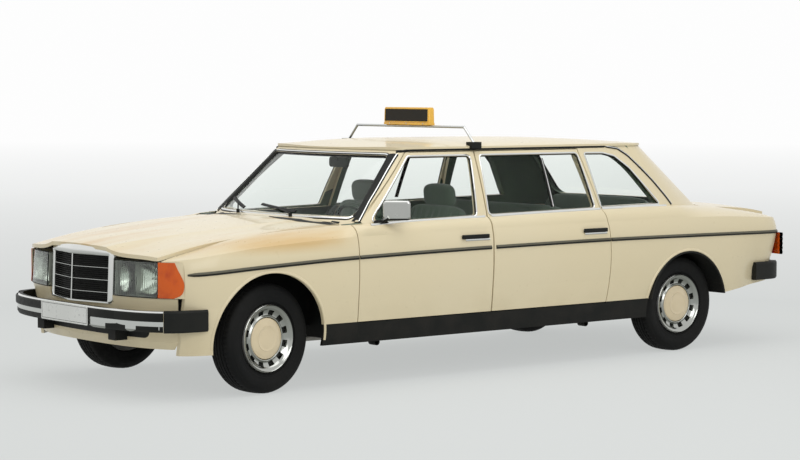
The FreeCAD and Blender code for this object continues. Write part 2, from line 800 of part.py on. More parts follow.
def nose_panel():
    """Front apron, the strip below the lamps and the wall that carries them."""
    angles = both_signs(NOSE_ANGLES)
    panel = joined([nose_loft(APRON_LEVELS, angles), nose_loft(LAMP_WALL_LEVELS, angles)])
    room = GRILLE_HALF + 8
    panel = panel.cut(box((2300, -room, GRILLE_Z[0] - 5), (FAR, room, 900)))
    panel = panel.cut(box((2300, -AIR_SLOT_HALF, AIR_SLOT_Z[0]), (FAR, AIR_SLOT_HALF, AIR_SLOT_Z[1])))
    for side in (1, -1):
        low = min(side * 300, side * WIDE)
        panel = panel.cut(box((1900, low, 100), (WING_FRONT_X + SEAT_GAP, low + WIDE - 300, HIGH)))
    return largest(panel)


def grille():
    """Upright radiator grille that rises with the bonnet: shell, slats and middle bar."""
    angles = both_signs((6, 12, 17.6))

    def layer(z_low, z_high, out, back):
        low_out, high_out = (out + (z - GRILLE_Z[0]) * GRILLE_LEAN for z in (z_low, z_high))
        return nose_loft([(z_low, low_out, back), (z_high, high_out, back)], angles)

    def window(grow):
        low, high = GRILLE_OPEN_Z
        half = GRILLE_OPEN_HALF + grow
        return box((2400, -half, low - grow), (2800, half, high + grow))

    frame = layer(GRILLE_Z[0], GRILLE_Z[1], -14.0, 50.0)
    frame = frame.common(box((2400, -GRILLE_HALF, 500), (2800, GRILLE_HALF, 900)))
    frame = largest(frame.cut(window(0.0)))
    inside = window(1.0)
    pitch = (GRILLE_OPEN_Z[1] - GRILLE_OPEN_Z[0]) / (SLATS + 1)
    pieces = [frame]
    for k in range(SLATS):
        z = GRILLE_OPEN_Z[0] + pitch * (k + 1)
        pieces.append(layer(z - SLAT_T / 2, z + SLAT_T / 2, 2.0, 44.0).common(inside))
    pieces.append(layer(GRILLE_Z[0], GRILLE_Z[1], 38.0, 44.0).common(inside))
    bar = layer(GRILLE_Z[0], GRILLE_Z[1], -10.0, 44.0)
    pieces.append(bar.common(inside).common(box((2400, -9, 500), (2800, 9, 900))))
    return joined(pieces)


def lamp_block(y_low, y_high, z_low, z_high, out, back, angles):
    block = nose_loft([(z_low, out, back), (z_high, out + 10, back)], angles)
    return largest(block.common(box((1900, y_low, 100), (2800, y_high, 1100))))


def headlamp_left():
    return lamp_block(LAMP_INNER_Y, LAMP_OUTER_Y, LAMP_Z[0], LAMP_Z[1], 2, 88, (16, 24, 32, 40, 50))


def indicator_left():
    block = lamp_block(LAMP_OUTER_Y + 4, 1000, LAMP_Z[0], LAMP_Z[1], 0, 60, (44, 50, 56, 62, 68))
    return largest(block.common(box((WING_FRONT_X + SEAT_GAP, 0, 0), (2800, 1100, 1200))))


def tail_lamp_left():
    block = tail_loft([(TAIL_LAMP_Z[0], 0, 60), (TAIL_LAMP_Z[1], 0, 60)], (3, 6, 10, 15, 22, 30, 38, 48, 58, 68))
    front_x = TAIL_LAMP_FRONT_X - SEAT_GAP
    return largest(block.common(box((-2800, TAIL_LAMP_INNER_Y, 100), (front_x, 1100, 1100))))


# Tail panel below the lamps as (height, outer inset, inner inset)
TAIL_PANEL_LEVELS = ((436, 62, 82), (480, 34, 54), (560, 30, 50), (TAIL_LAMP_Z[0] - 8, 12, 32))


def tail_panel():
    angles = both_signs((0.6, 3, 8, 15, 24, 34, 44))
    panel = tail_loft(TAIL_PANEL_LEVELS, angles)
    return largest(panel.common(box((-FAR, -TAIL_PANEL_HALF, 100), (-2300, TAIL_PANEL_HALF, HIGH))))


def bonnet():
    slab = lid_slab((1150, 1400, 1700, 2000, 2300, 2480, 2600), bonnet_half, LID_T)
    slab = slab.common(plan_prism(front_plan_runs(BONNET_NOSE_INSET, BONNET_SIDE_Y, BONNET_REAR), 600, 1200))
    slab = slab.cut(box((2420, -1000, 500), (2800, 1000, LAMP_Z[1] + 6)))
    slab = slab.cut(box((2400, -GRILLE_HALF - 1, 500), (2800, GRILLE_HALF + 1, GRILLE_Z[1] - 20)))
    return largest(slab)


def boot_lid():
    """Boot lid: the deck and the wall between the tail lamps, in one pressing."""
    deck = lid_slab((-2640, -2560, -2480, -2270, -1950, -1800), deck_half, LID_T)
    deck = largest(deck.common(plan_prism(boot_plan_runs(0.0), 600, 1200)))
    angles = both_signs((0.6, 3, 8, 14, 20))
    wall = tail_loft([(TAIL_LAMP_Z[0], 6, 26), (780, 0, 20), (868, 3, 24), (902, 24, 50)], angles)
    wall = wall.common(box((-FAR, -BOOT_SIDE_Y, 500), (-2200, BOOT_SIDE_Y, HIGH)))
    for side in (1, -1):
        low = min(side * (TAIL_LAMP_INNER_Y - SHUT_GAP), side * 1000)
        high = low + 1000 - TAIL_LAMP_INNER_Y + SHUT_GAP
        wall = wall.cut(box((-FAR, low, 500), (-2200, high, TAIL_LAMP_Z[1] + SHUT_GAP)))
    return joined([deck, largest(wall)])


# Bumpers: their own plan curve, further out than the body

BUMPER_END_X = 2262.0
BUMPER_HALF = 882.0
FRONT_BUMPER_POWERS = (3.2, 3.0)
REAR_BUMPER_POWERS = (5.0, 3.0)
BUMPER_CHROME_Z = (400.0, 517.0)
BUMPER_RISE = 50.0
CHROME_INSET = 10.0


def bumper_loft(levels, angles, lift, sign):
    """Wrap round the bumper's plan curve; sign is 1 at the nose and -1 at the tail."""
    powers = FRONT_BUMPER_POWERS if sign > 0 else REAR_BUMPER_POWERS
    wires = []
    for a in angles:
        side = -1.0 if a < 0 else 1.0
        ring = []
        for z, out, back in levels:
            along, wide = superellipse(abs(a), LENGTH / 2 - BUMPER_END_X - out, BUMPER_HALF - out, powers)
            ring.append((sign * (BUMPER_END_X + along), side * wide, z + lift))
        for z, out, back in reversed(levels):
            along, wide = superellipse(abs(a), LENGTH / 2 - BUMPER_END_X - back, BUMPER_HALF - back, powers)
            ring.append((sign * (BUMPER_END_X + along), side * wide, z + lift))
        wires.append(polygon(ring))
    return loft(wires)


BAR_ANGLES = (8, 20, 32, 44, 54, 62)
CAP_ANGLES = (62.3, 68, 75, 82, 87, 89.3, 89.97)
BAR_BACK = 40.0
# Flat seat for the number plate in the front band
PLATE_SEAT_HALF = 262.0
PLATE_SEAT_DEPTH = 5.0


def bumper_bar(lift, sign, wall, sides):
    """Bright bar with two stubs that stand on the body's end panel."""
    low, high = BUMPER_CHROME_Z
    edge, face = CHROME_INSET + 8, CHROME_INSET
    levels = [(low, edge, BAR_BACK), (low + 14, face, BAR_BACK), (high - 14, face, BAR_BACK), (high, edge, BAR_BACK)]
    bar = bumper_loft(levels, both_signs(BAR_ANGLES), lift, sign)
    x_bar = sign * (LENGTH / 2 - 40)
    x_in = sign * (LENGTH / 2 - 260)
    pieces = [bar]
    for y in (-400, 400):
        stub = box((min(x_bar, x_in), y - 25, low + 36 + lift), (max(x_bar, x_in), y + 25, high - 36 + lift))
        stub = stub.cut(wall)
        pieces.append(max(stub.Solids, key=lambda s: sign * s.CenterOfMass.x))
    return seated(joined(pieces), *sides)


def bumper_rubber(lift, sign, bar, sides):
    """Rubber band along the bar and a cap round each corner."""
    low, high = BUMPER_CHROME_Z
    back = CHROME_INSET - SEAT_GAP
    levels = [(low + 60, 3, back), (low + 66, 0, back), (high - 14, 0, back), (high - 8, 3, back)]
    band = seated(bumper_loft(levels, both_signs(BAR_ANGLES), lift, sign), bar)
    if sign > 0:
        seat_x = LENGTH / 2 - PLATE_SEAT_DEPTH
        band = band.cut(box((seat_x, -PLATE_SEAT_HALF, low), (LENGTH / 2 + 10, PLATE_SEAT_HALF, high)))
    pieces = [largest(band)]
    levels = [(low - 3, 6, BAR_BACK), (low + 8, 0, BAR_BACK), (high - 8, 0, BAR_BACK), (high + 3, 6, BAR_BACK)]
    for side in (1, -1):
        cap = bumper_loft(levels, [side * a for a in CAP_ANGLES], lift, sign)
        pieces.append(seated(cap, *sides))
    return pieces


# Tub: floor, wheel houses, engine bay, scuttle

FLOOR_Z = (262.0, 286.0)
FLOOR_HALF = 755.0
BOOT_FLOOR_Z = (430.0, 452.0)
RAIL_Y = (360.0, 436.0)
BAY_RAIL_Z = (330.0, 420.0)
INNER_WING_Y = (436.0, 448.0)
SHELF_Z = (728.0, 742.0)
FIREWALL_X = (1216.0, 1238.0)
HOUSE_ARCH_T = 12.0


# The floor beside the boot's well ends this far inside the side's wall
SHELF_CLEARANCE = 3.0
SHELF_XS = (-1188.0, -2050.0, -2200.0, -2320.0, -2440.0)


def boot_shelf(inner_y):
    """Left part of the boot floor, from inner_y out to just short of the side's inner face."""
    edge = []
    for x in SHELF_XS:
        tuck = TUCK * smooth_step((TUCK_START_X - x) / TUCK_RUN)
        inset = (DOOR_BOTTOM_INSET + CREASE_INSET) / 2 + tuck + SIDE_WALL_T + SHELF_CLEARANCE
        reach = max(REAR_CORNER_X - x, 0.0) / (REAR_CORNER_X - TAIL_X - inset)
        power = REAR_POWERS[0]
        edge.append((x, (HALF_WIDTH - inset) * (1 - reach ** power) ** (1 / power)))
    corners = [(SHELF_XS[-1], inner_y), (SHELF_XS[0], inner_y)] + edge
    low, high = BOOT_FLOOR_Z
    return Part.Face(polygon([(x, y, low) for x, y in corners])).extrude(V(0, 0, high - low))


def floor_pan(neighbours):
    """Floor, boot floor, rear wheel houses, chassis rails and inner wings."""
    pieces = [
        box((-1200, -FLOOR_HALF, FLOOR_Z[0]), (FIREWALL_X[1], FLOOR_HALF, FLOOR_Z[1])),
        box((-1212, -FLOOR_HALF, FLOOR_Z[0]), (-1188, FLOOR_HALF, BOOT_FLOOR_Z[1])),
        box((-2560, -540, BOOT_FLOOR_Z[0]), (-1188, 540, BOOT_FLOOR_Z[1])),
        box((FIREWALL_X[0], -720, FLOOR_Z[0]), (FIREWALL_X[1], 720, 925.0)),
    ]
    shelf = boot_shelf(538.0)
    for side in (1, -1):
        def strip(x0, x1, y0, y1, z0, z1):
            ys = sorted((side * y0, side * y1))
            return box((x0, ys[0], z0), (x1, ys[1], z1))

        pieces.append(strip(FIREWALL_X[0], 2600, RAIL_Y[0], RAIL_Y[1], BAY_RAIL_Z[0], BAY_RAIL_Z[1]))
        pieces.append(strip(FIREWALL_X[0], 2440, INNER_WING_Y[0] - 1, INNER_WING_Y[1], BAY_RAIL_Z[0], SHELF_Z[1]))
        pieces.append(strip(FIREWALL_X[0], 2330, INNER_WING_Y[0], 900, SHELF_Z[0], SHELF_Z[1]))
        outer = Part.makeCylinder(REAR_ARCH_R, 900.0, V(REAR_AXLE_X, 0, ARCH_Z), Y_AXIS * side)
        inner = Part.makeCylinder(REAR_ARCH_R - HOUSE_ARCH_T, 900.0, V(REAR_AXLE_X, 0, ARCH_Z), Y_AXIS * side)
        ring = outer.cut(inner).common(strip(-2400, -1100, 560, 900, ARCH_Z + 60, 800))
        wall = outer.common(strip(-2400, -1100, 548, 560, ARCH_Z + 60, 800))
        core = Part.makeCylinder(REAR_ARCH_R - HOUSE_ARCH_T / 2, 900.0, V(REAR_AXLE_X, 0, ARCH_Z), Y_AXIS * side)
        pieces += [ring, wall]
        pieces += (shelf if side > 0 else mirrored(shelf)).cut(core).Solids
    pan = joined(pieces)
    return seated(pan, *neighbours)


def cowl(neighbours):
    """Scuttle between the bonnet and the windscreen."""
    def half(x):
        top = bonnet_half(x)
        edge = (HALF_WIDTH - between(TOP_INSET, x) + 6.0, between(TOP_LINE, x) + 1.0)
        flank = top[1][:-1] + [(680.0, mix(top[1][-2][1], edge[1], 0.7)), edge]
        return [top[0], flank]

    slab = lid_slab((1204, 1240, 1280, 1320, 1380), half, LID_T)
    taken = plan_prism(bonnet_rear_region(), 600, 1200)
    slab = slab.cut(taken)
    return seated(slab, *neighbours)


def bonnet_rear_region():
    """Plan of the bonnet's rear part with its shut gap."""
    g = SHUT_GAP
    mid, side = BONNET_REAR
    y = BONNET_SIDE_Y + g
    return [
        [(side - g, -y), (mid - g, 0.0), (side - g, y)],
        [(side - g, y), (1700.0, y)],
        [(1700.0, y), (1700.0, -y)],
        [(1700.0, -y), (side - g, -y)],
    ]


# Jacking tubes: short tubes across the car under the floor's edge, open at both ends

JACK_R = 15.0
JACK_TUBE_R = 21.0
JACK_LENGTH = 60.0
JACK_Z = 236.0
JACK_XS = (960.0, -780.0)


def jack_tubes():
    tubes = []
    for x in JACK_XS:
        for side in (1, -1):
            y_low = FLOOR_HALF - JACK_LENGTH if side > 0 else -FLOOR_HALF
            start = V(x, y_low, JACK_Z)
            tube = Part.makeCylinder(JACK_TUBE_R, JACK_LENGTH, start, Y_AXIS)
            web = box((x - 18, y_low, JACK_Z), (x + 18, y_low + JACK_LENGTH, FLOOR_Z[0]))
            bore = Part.makeCylinder(JACK_R, JACK_LENGTH + 2, start - Y_AXIS, Y_AXIS)
            tubes.append(largest(tube.fuse(web).removeSplitter().cut(bore)))
    return tubes


# Wheels: turned profiles about the wheel's own axis, with the outer side towards +Y


def turned(profile):
    """Solid of revolution about Y from a closed profile of (radius, y) points."""
    face = Part.Face(polygon([(r, y, 0.0) for r, y in profile]))
    return face.revolve(ORIGIN, Y_AXIS, 360)


TYRE_HALF = (
    (RIM_R + SEAT_GAP, 67.6), (208.5, 73.6), (212.0, 83.0), (232.0, 89.0), (268.0, TYRE_W / 2), (296.0, 86.0),
    (310.0, 75.0), (317.0, 62.0), (WHEEL_R, 42.0),
)
TYRE_PROFILE = TYRE_HALF + tuple((r, -y) for r, y in reversed(TYRE_HALF))
WHEEL_BORE = STUB_R + SEAT_GAP
WHEEL_PROFILE = (
    (WHEEL_BORE, -26.0), (58.0, -26.0), (62.0, 10.0), (120.0, 22.0), (160.0, 8.0), (178.0, -2.0), (178.0, -74.0),
    (204.0, -82.0), (208.0, -74.0), (RIM_R, -68.0), (RIM_R, 68.0), (208.0, 74.0), (204.0, 82.0), (182.0, 66.0),
    (178.0, 34.0), (168.0, 40.0), (136.0, 52.0), (120.0, 52.0), (110.0, 60.0), (60.0, 74.0), (0.0, 78.0),
    (0.0, 60.0), (WHEEL_BORE, 60.0),
)
COVER_SLOTS = 12


def tyre():
    return turned(TYRE_PROFILE)


def wheel():
    body = turned(WHEEL_PROFILE)
    slot = Part.makeBox(9.0, 60.0, 22.0, V(148.0, 20.0, -11.0))
    slot = slot.makeFillet(4.0, [e for e in slot.Edges if abs(e.tangentAt(e.FirstParameter).y) > 0.99])
    slots = []
    for k in range(COVER_SLOTS):
        copy = slot.copy()
        copy.rotate(ORIGIN, Y_AXIS, k * 360.0 / COVER_SLOTS)
        slots.append(copy)
    return largest(body.cut(Part.makeCompound(slots)))


def at_wheel(shape, axle_x, track, side, steered):
    """Put a wheel-shaped piece at its corner; the outer face points away from the car."""
    piece = shape.copy()
    if side < 0:
        piece = piece.mirror(ORIGIN, Y_AXIS)
    piece.translate(V(axle_x, side * track / 2, WHEEL_R))
    if steered:
        piece.rotate(V(axle_x, side * KINGPIN_Y, 0), Z_AXIS, STEER_REST)
    return piece


PIN_R = 12.0
EYE_R = 30.0
EYE_T = 22.0
KNUCKLE_Z = (WHEEL_R - 90.0, WHEEL_R + 96.0)


def knuckle(side):
    """Steering knuckle: upright with two pins, and the stub axle."""
    x, y = FRONT_AXLE_X, side * KINGPIN_Y
    low, high = KNUCKLE_Z
    upright = Part.makeBox(50, 44, high - low, V(x - 25, y - 22, low))
    pins = Part.makeCylinder(PIN_R, high - low + 2 * EYE_T + 6, V(x, y, low - EYE_T - 3), Z_AXIS)
    start = V(x, y, WHEEL_R)
    stub_end = FRONT_TRACK / 2 - KINGPIN_Y + 56.0
    stub = Part.makeCylinder(STUB_R, stub_end, start, Y_AXIS * side)
    arm = box((x - 150, min(y - 12, y + 12), low + 30), (x, max(y - 12, y + 12), low + 50))
    body = joined([upright, pins, stub, arm])
    body.rotate(V(x, y, 0), Z_AXIS, STEER_REST)
    return body


def front_axle():
    """Cross member under the engine with its lower arms, and an upper arm to each knuckle."""
    x = FRONT_AXLE_X
    low, high = KNUCKLE_Z
    beam = box((x - 70, -440, 236), (x + 70, 440, BAY_RAIL_Z[0]))

    def arm(side, z, y_start):
        y = side * KINGPIN_Y
        ys = sorted((side * y_start, y))
        bar = box((x - 22, ys[0], z + 2), (x + 22, ys[1], z + EYE_T - 2))
        eye = Part.makeCylinder(EYE_R, EYE_T, V(x, y, z), Z_AXIS)
        hole = Part.makeCylinder(PIN_R + SEAT_GAP, EYE_T + 2, V(x, y, z - 1), Z_AXIS)
        return largest(bar.fuse(eye).cut(hole).removeSplitter())

    lower = [arm(side, low - EYE_T - 5, 430.0) for side in (1, -1)]
    upper = [arm(side, high + 5, INNER_WING_Y[1]) for side in (1, -1)]
    return [joined([beam] + lower)] + upper


DIFF_R = 105.0
TRAILING_ARM_Y = 500.0


def rear_axle():
    """Differential, half shafts with their stubs, and two trailing arms."""
    x = REAR_AXLE_X
    half = REAR_TRACK / 2 + 56.0
    shaft = Part.makeCylinder(STUB_R, 2 * half, V(x, -half, WHEEL_R), Y_AXIS)
    diff = Part.makeSphere(DIFF_R, V(x, 0, WHEEL_R))
    diff = diff.common(box((x - 90, -80, 200), (x + 110, 80, BOOT_FLOOR_Z[0] - SEAT_GAP)))
    pieces = [shaft, diff, box((x - 40, -60, WHEEL_R), (x + 40, 60, BOOT_FLOOR_Z[0]))]
    for y in (-TRAILING_ARM_Y, TRAILING_ARM_Y):
        arm = side_prism([
            [(x - 40, WHEEL_R - 40), (x - 40, WHEEL_R + 45)],
            [(x - 40, WHEEL_R + 45), (x + 60, WHEEL_R + 40)],
            [(x + 60, WHEEL_R + 40), (x + 372, 330)],
            [(x + 372, 330), (x + 372, 292)],
            [(x + 372, 292), (x - 40, WHEEL_R - 40)],
        ], y - 30, y + 30)
        pieces.append(arm)
    return joined(pieces)


ENGINE_BLOCK = ((1330.0, -230.0, BAY_RAIL_Z[0]), (2020.0, 230.0, 720.0))


def engine():
    return box(*ENGINE_BLOCK)


PIPE_R = 24.0
PIPE_Y = 180.0
PIPE_DROP = 42.0
PIPE_START_X = 1500.0
PIPE_BEND_X = -1400.0
TAIL_SILENCER_X = (-2380.0, -1980.0)


def exhaust():
    """Pipe along the underside with two silencers; the first one hangs against the floor."""
    z = FLOOR_Z[0] - PIPE_DROP
    back = V(-1, 0, 0)
    pipe = Part.makeCylinder(PIPE_R, PIPE_START_X - PIPE_BEND_X, V(PIPE_START_X, PIPE_Y, z), back)
    middle = Part.makeCylinder(PIPE_DROP - SEAT_GAP, 420, V(300, PIPE_Y, z), back)
    low_x, high_x = TAIL_SILENCER_X
    tail_silencer = box((low_x, PIPE_Y - 120, 300), (high_x, PIPE_Y + 140, BOOT_FLOOR_Z[0] - SEAT_GAP))
    tail = Part.makeCylinder(PIPE_R, 320, V(low_x + 20, PIPE_Y, 350), back)
    link = Part.makeCylinder(PIPE_R, 640, V(PIPE_BEND_X + 5, PIPE_Y, z), V(-590, 0, 120))
    return joined([pipe, middle, link, tail_silencer, tail])


# Cabin


SEAT_FLOOR_Z = FLOOR_Z[1] + SEAT_GAP
CUSHION_DEPTH = 470.0
BACK_RAKE = 0.30
FRONT_SEAT_X = (235.0, 790.0)
FRONT_SEAT_Y = (110.0, 640.0)
MIDDLE_BENCH_X = (-640.0, -170.0)
MIDDLE_BENCH_HALF = 690.0
REAR_BENCH_X = (-1560.0, -1010.0)
REAR_BENCH_HALF = 530.0
HEADREST = (84.0, 290.0, 150.0)
HEADREST_LOW = V(92.0, 0.0, 1140.0)
HEADREST_POST_R = 7.0


def seat(x_range, y_low, y_high, z_floor, z_cushion, z_top):
    """A seat from its side profile: cushion and raked back."""
    x_back, x_front = x_range
    fold_x = x_front - CUSHION_DEPTH + 60
    rake = (z_top - z_cushion) * BACK_RAKE
    top_x = x_back - rake
    profile = [
        [(x_front, z_floor), (x_front, z_cushion - 40)],
        [(x_front, z_cushion - 40), (x_front - 40, z_cushion + 4), (fold_x, z_cushion - 16)],
        [(fold_x, z_cushion - 16), (x_back + 110 - rake * 0.1, z_cushion + 30), (top_x + 90, z_top)],
        [(top_x + 90, z_top), (top_x + 40, z_top + 24), (top_x, z_top - 20)],
        [(top_x, z_top - 20), (x_back, z_floor)],
        [(x_back, z_floor), (x_front, z_floor)],
    ]
    return side_prism(profile, y_low, y_high)


def front_seats():
    seats = []
    low_y, high_y = FRONT_SEAT_Y
    for side in (1, -1):
        ys = sorted((side * low_y, side * high_y))
        body = seat(FRONT_SEAT_X, ys[0], ys[1], SEAT_FLOOR_Z, 610.0, 1080.0)
        middle = (ys[0] + ys[1]) / 2
        rest = Part.makeBox(*HEADREST, HEADREST_LOW + V(0, middle - HEADREST[1] / 2, 0))
        rest = rest.makeFillet(24, rest.Edges)
        post_x = HEADREST_LOW.x + HEADREST[0] / 2
        foot_z = HEADREST_LOW.z - 80
        posts = [Part.makeCylinder(HEADREST_POST_R, 100, V(post_x, middle + d, foot_z), Z_AXIS) for d in (-70, 70)]
        seats.append(joined([body, rest] + posts))
    return seats


def bench_seats():
    middle = seat(MIDDLE_BENCH_X, -MIDDLE_BENCH_HALF, MIDDLE_BENCH_HALF, SEAT_FLOOR_Z, 600.0, 1010.0)
    half, x_front = REAR_BENCH_HALF, REAR_BENCH_X[1]
    rear = seat(REAR_BENCH_X, -half, half, BOOT_FLOOR_Z[1] + SEAT_GAP, 630.0, 1030.0)
    base = box((x_front - 170, -MIDDLE_BENCH_HALF, SEAT_FLOOR_Z), (x_front, MIDDLE_BENCH_HALF, 580))
    return [middle, joined([rear, base])]


COLUMN_TILT = 26.0
STEERING_CENTRE = V(792.0, 370.0, 862.0)
STEERING_R = 198.0
STEERING_RIM_R = 13.0
COLUMN_R = 38.0
COLUMN_SHAFT_R = 12.0
DASH_HALF = 700.0
DASH_BOTTOM_Z = 640.0
DASH_REAR_X = FIREWALL_X[0] - SEAT_GAP


def column_direction():
    t = math.radians(COLUMN_TILT)
    return V(math.cos(t), 0, -math.sin(t))


def dashboard():
    """Dashboard with the instrument hood and the steering column's housing."""
    profile = [
        [(DASH_REAR_X, DASH_BOTTOM_Z), (DASH_REAR_X, 918)],
        [(DASH_REAR_X, 918), (1100, 950), (985, 948)],
        [(985, 948), (940, 930), (926, 890)],
        [(926, 890), (960, 760), (1010, DASH_BOTTOM_Z)],
        [(1010, DASH_BOTTOM_Z), (DASH_REAR_X, DASH_BOTTOM_Z)],
    ]
    body = side_prism(profile, -DASH_HALF, DASH_HALF)
    d = column_direction()
    tube = Part.makeCylinder(COLUMN_R, 220, STEERING_CENTRE + d * 60.0, d)
    body = joined([body, tube])
    hole = Part.makeCylinder(COLUMN_SHAFT_R + SEAT_GAP, 120, STEERING_CENTRE + d * 30.0, d)
    return largest(body.cut(hole))


def steering_wheel():
    """Rim, hub with two spokes, and the end of its shaft."""
    d = column_direction()
    rim = Part.makeTorus(STEERING_R, STEERING_RIM_R, STEERING_CENTRE, d)
    hub = Part.makeCylinder(58, 34, STEERING_CENTRE - d * 4.0, d)
    shaft = Part.makeCylinder(COLUMN_SHAFT_R, 120, STEERING_CENTRE, d)
    bar = box((-7, -STEERING_R, -28), (9, STEERING_R, 28))
    bar.rotate(ORIGIN, Y_AXIS, COLUMN_TILT)
    bar.translate(STEERING_CENTRE + d * 8.0)
    return joined([rim, hub, shaft, bar])


# Roof sign on its clamp-on bar

SIGN_X = 95.0
SIGN_BAR_Z = 1518.0
SIGN_BAR_R = 8.0
SIGN_LEG_Y = 546.0
SIGN_FOOT_Y = (612.0, 668.0)
SIGN_HALF_WIDTH = 232.0
SIGN_FOOT_HALF = 27.0
SIGN_TOP_HALF = 21.0
SIGN_BOTTOM_Z = SIGN_BAR_Z + SIGN_BAR_R + SEAT_GAP
SIGN_TOP_Z = 1640.0


def sign_carrier(roof_shape, side_shapes):
    """Tube over the roof with a foot at each drip rail."""
    half = SIGN_LEG_Y + 4
    tube = Part.makeCylinder(SIGN_BAR_R, 2 * half, V(SIGN_X, -half, SIGN_BAR_Z), Y_AXIS)
    pieces = [tube]
    for side in (1, -1):
        leg = Part.makeCylinder(SIGN_BAR_R, 145, V(SIGN_X, side * SIGN_LEG_Y, SIGN_BAR_Z), V(0, side * 96, -100))
        ys = sorted((side * SIGN_FOOT_Y[0], side * SIGN_FOOT_Y[1]))
        foot = box((SIGN_X - 40, ys[0], RAIL_Z + 2), (SIGN_X + 40, ys[1], RAIL_Z + 42))
        pieces += [leg, foot]
    return seated(joined(pieces), roof_shape, *side_shapes)


def roof_sign():
    corners = [
        (SIGN_X - SIGN_FOOT_HALF, SIGN_BOTTOM_Z), (SIGN_X + SIGN_FOOT_HALF, SIGN_BOTTOM_Z),
        (SIGN_X + SIGN_TOP_HALF, SIGN_TOP_Z), (SIGN_X - SIGN_TOP_HALF, SIGN_TOP_Z),
    ]
    profile = [[a, b] for a, b in zip(corners, corners[1:] + corners[:1])]
    return side_prism(profile, -SIGN_HALF_WIDTH, SIGN_HALF_WIDTH)


MIRROR_FOOT = V(985.0, 822.0, 962.0)
MIRROR_CENTRE = V(912.0, 884.0, 1034.0)
MIRROR_W = 166.0
MIRROR_H = 118.0
MIRROR_T = 52.0
MIRROR_TURN = 45.0


def door_mirror():
    """Mirror on the driver's door: a rounded shell on a foot at the window's front corner."""
    shell = Part.makeBox(MIRROR_T, MIRROR_W, MIRROR_H, V(-MIRROR_T / 2, -MIRROR_W / 2, -MIRROR_H / 2))
    shell = shell.makeFillet(22, [e for e in shell.Edges if abs(e.tangentAt(e.FirstParameter).x) > 0.99])
    front = [e for e in shell.Edges if min(v.X for v in e.Vertexes) > MIRROR_T / 2 - 1]
    shell = shell.makeFillet(14, front)
    shell.rotate(ORIGIN, Z_AXIS, MIRROR_TURN)
    shell.translate(MIRROR_CENTRE)
    foot = Part.makeBox(96, 34, 26, V(-48, -17, -13))
    foot = foot.makeFillet(9, foot.Edges)
    foot.rotate(ORIGIN, Z_AXIS, 8.0)
    foot.translate(MIRROR_FOOT)
    neck = Part.makeCylinder(13, 62, MIRROR_FOOT, V(-18, 40, 26))
    return joined([shell, neck, foot])


HANDLE_Z = 853.0
HANDLE_OUT_Y = 905.0
HANDLE_T = 14.0
HANDLE_H = 26.0
HANDLE_XS = ((188.0, 407.0), (-830.0, -622.0))


def handle(x_low, x_high):
    """Door pull: a bar that stands off the skin on two feet."""
    inner_y = HANDLE_OUT_Y - HANDLE_T
    bar = Part.makeBox(x_high - x_low, HANDLE_T, HANDLE_H, V(x_low, inner_y, HANDLE_Z - HANDLE_H / 2))
    bar = bar.makeFillet(5, bar.Edges)
    feet = [box((x, 870, HANDLE_Z - 9), (x + 26, inner_y + 5, HANDLE_Z + 9)) for x in (x_low + 6, x_high - 32)]
    return [bar] + feet


# Each wiper: its pivot's x and y, then the y and z of the blade's far end
WIPERS = ((1247.0, 265.0, -150.0, 1030.0), (1240.0, -300.0, -640.0, 1050.0))
BLADE_Z = 1002.0
BLADE_H = 13.0
BLADE_T = 9.0
WIPER_POST_R = 11.0
WIPER_POST_TOP_Z = 1002.0


def screen_x(y, z, inset):
    """Where the front of the glass house lies at (y, z), inset inside its outline."""
    s = house_level(z)
    front = s["front"] - inset
    post_x, post_y = s["a_post"][0] - inset, s["a_post"][1] - inset * 0.6
    return front - (front - post_x) * (y / post_y) ** 2


def wipers(cowl_shape):
    """Two parked wipers at the foot of the windscreen: a post on the scuttle, an arm and a blade along the glass."""
    face = GLASS_DEPTH - SEAT_GAP
    layer = house_wall(face - BLADE_T, face)
    pieces = []
    for x, y, tip_y, tip_z in WIPERS:
        root_y = y - 30.0
        flat = polygon([
            (900.0, tip_y, tip_z), (900.0, tip_y, tip_z + BLADE_H), (900.0, root_y, BLADE_Z + BLADE_H),
            (900.0, root_y, BLADE_Z),
        ])
        blade = largest(layer.common(Part.Face(flat).extrude(V(500, 0, 0))))
        post = Part.makeCylinder(WIPER_POST_R, WIPER_POST_TOP_Z - 940.0, V(x, y, 940.0), Z_AXIS)
        hold_y, hold_z = mix(tip_y, root_y, 0.55), mix(tip_z, BLADE_Z, 0.55) + BLADE_H / 2
        hold = V(screen_x(hold_y, hold_z, -1.5), hold_y, hold_z)
        top = V(x, y, WIPER_POST_TOP_Z - 5.0)
        arm = Part.makeCylinder(5, (hold - top).Length, top, hold - top)
        pieces.append(seated(joined([post, arm, blade]), cowl_shape))
    return pieces


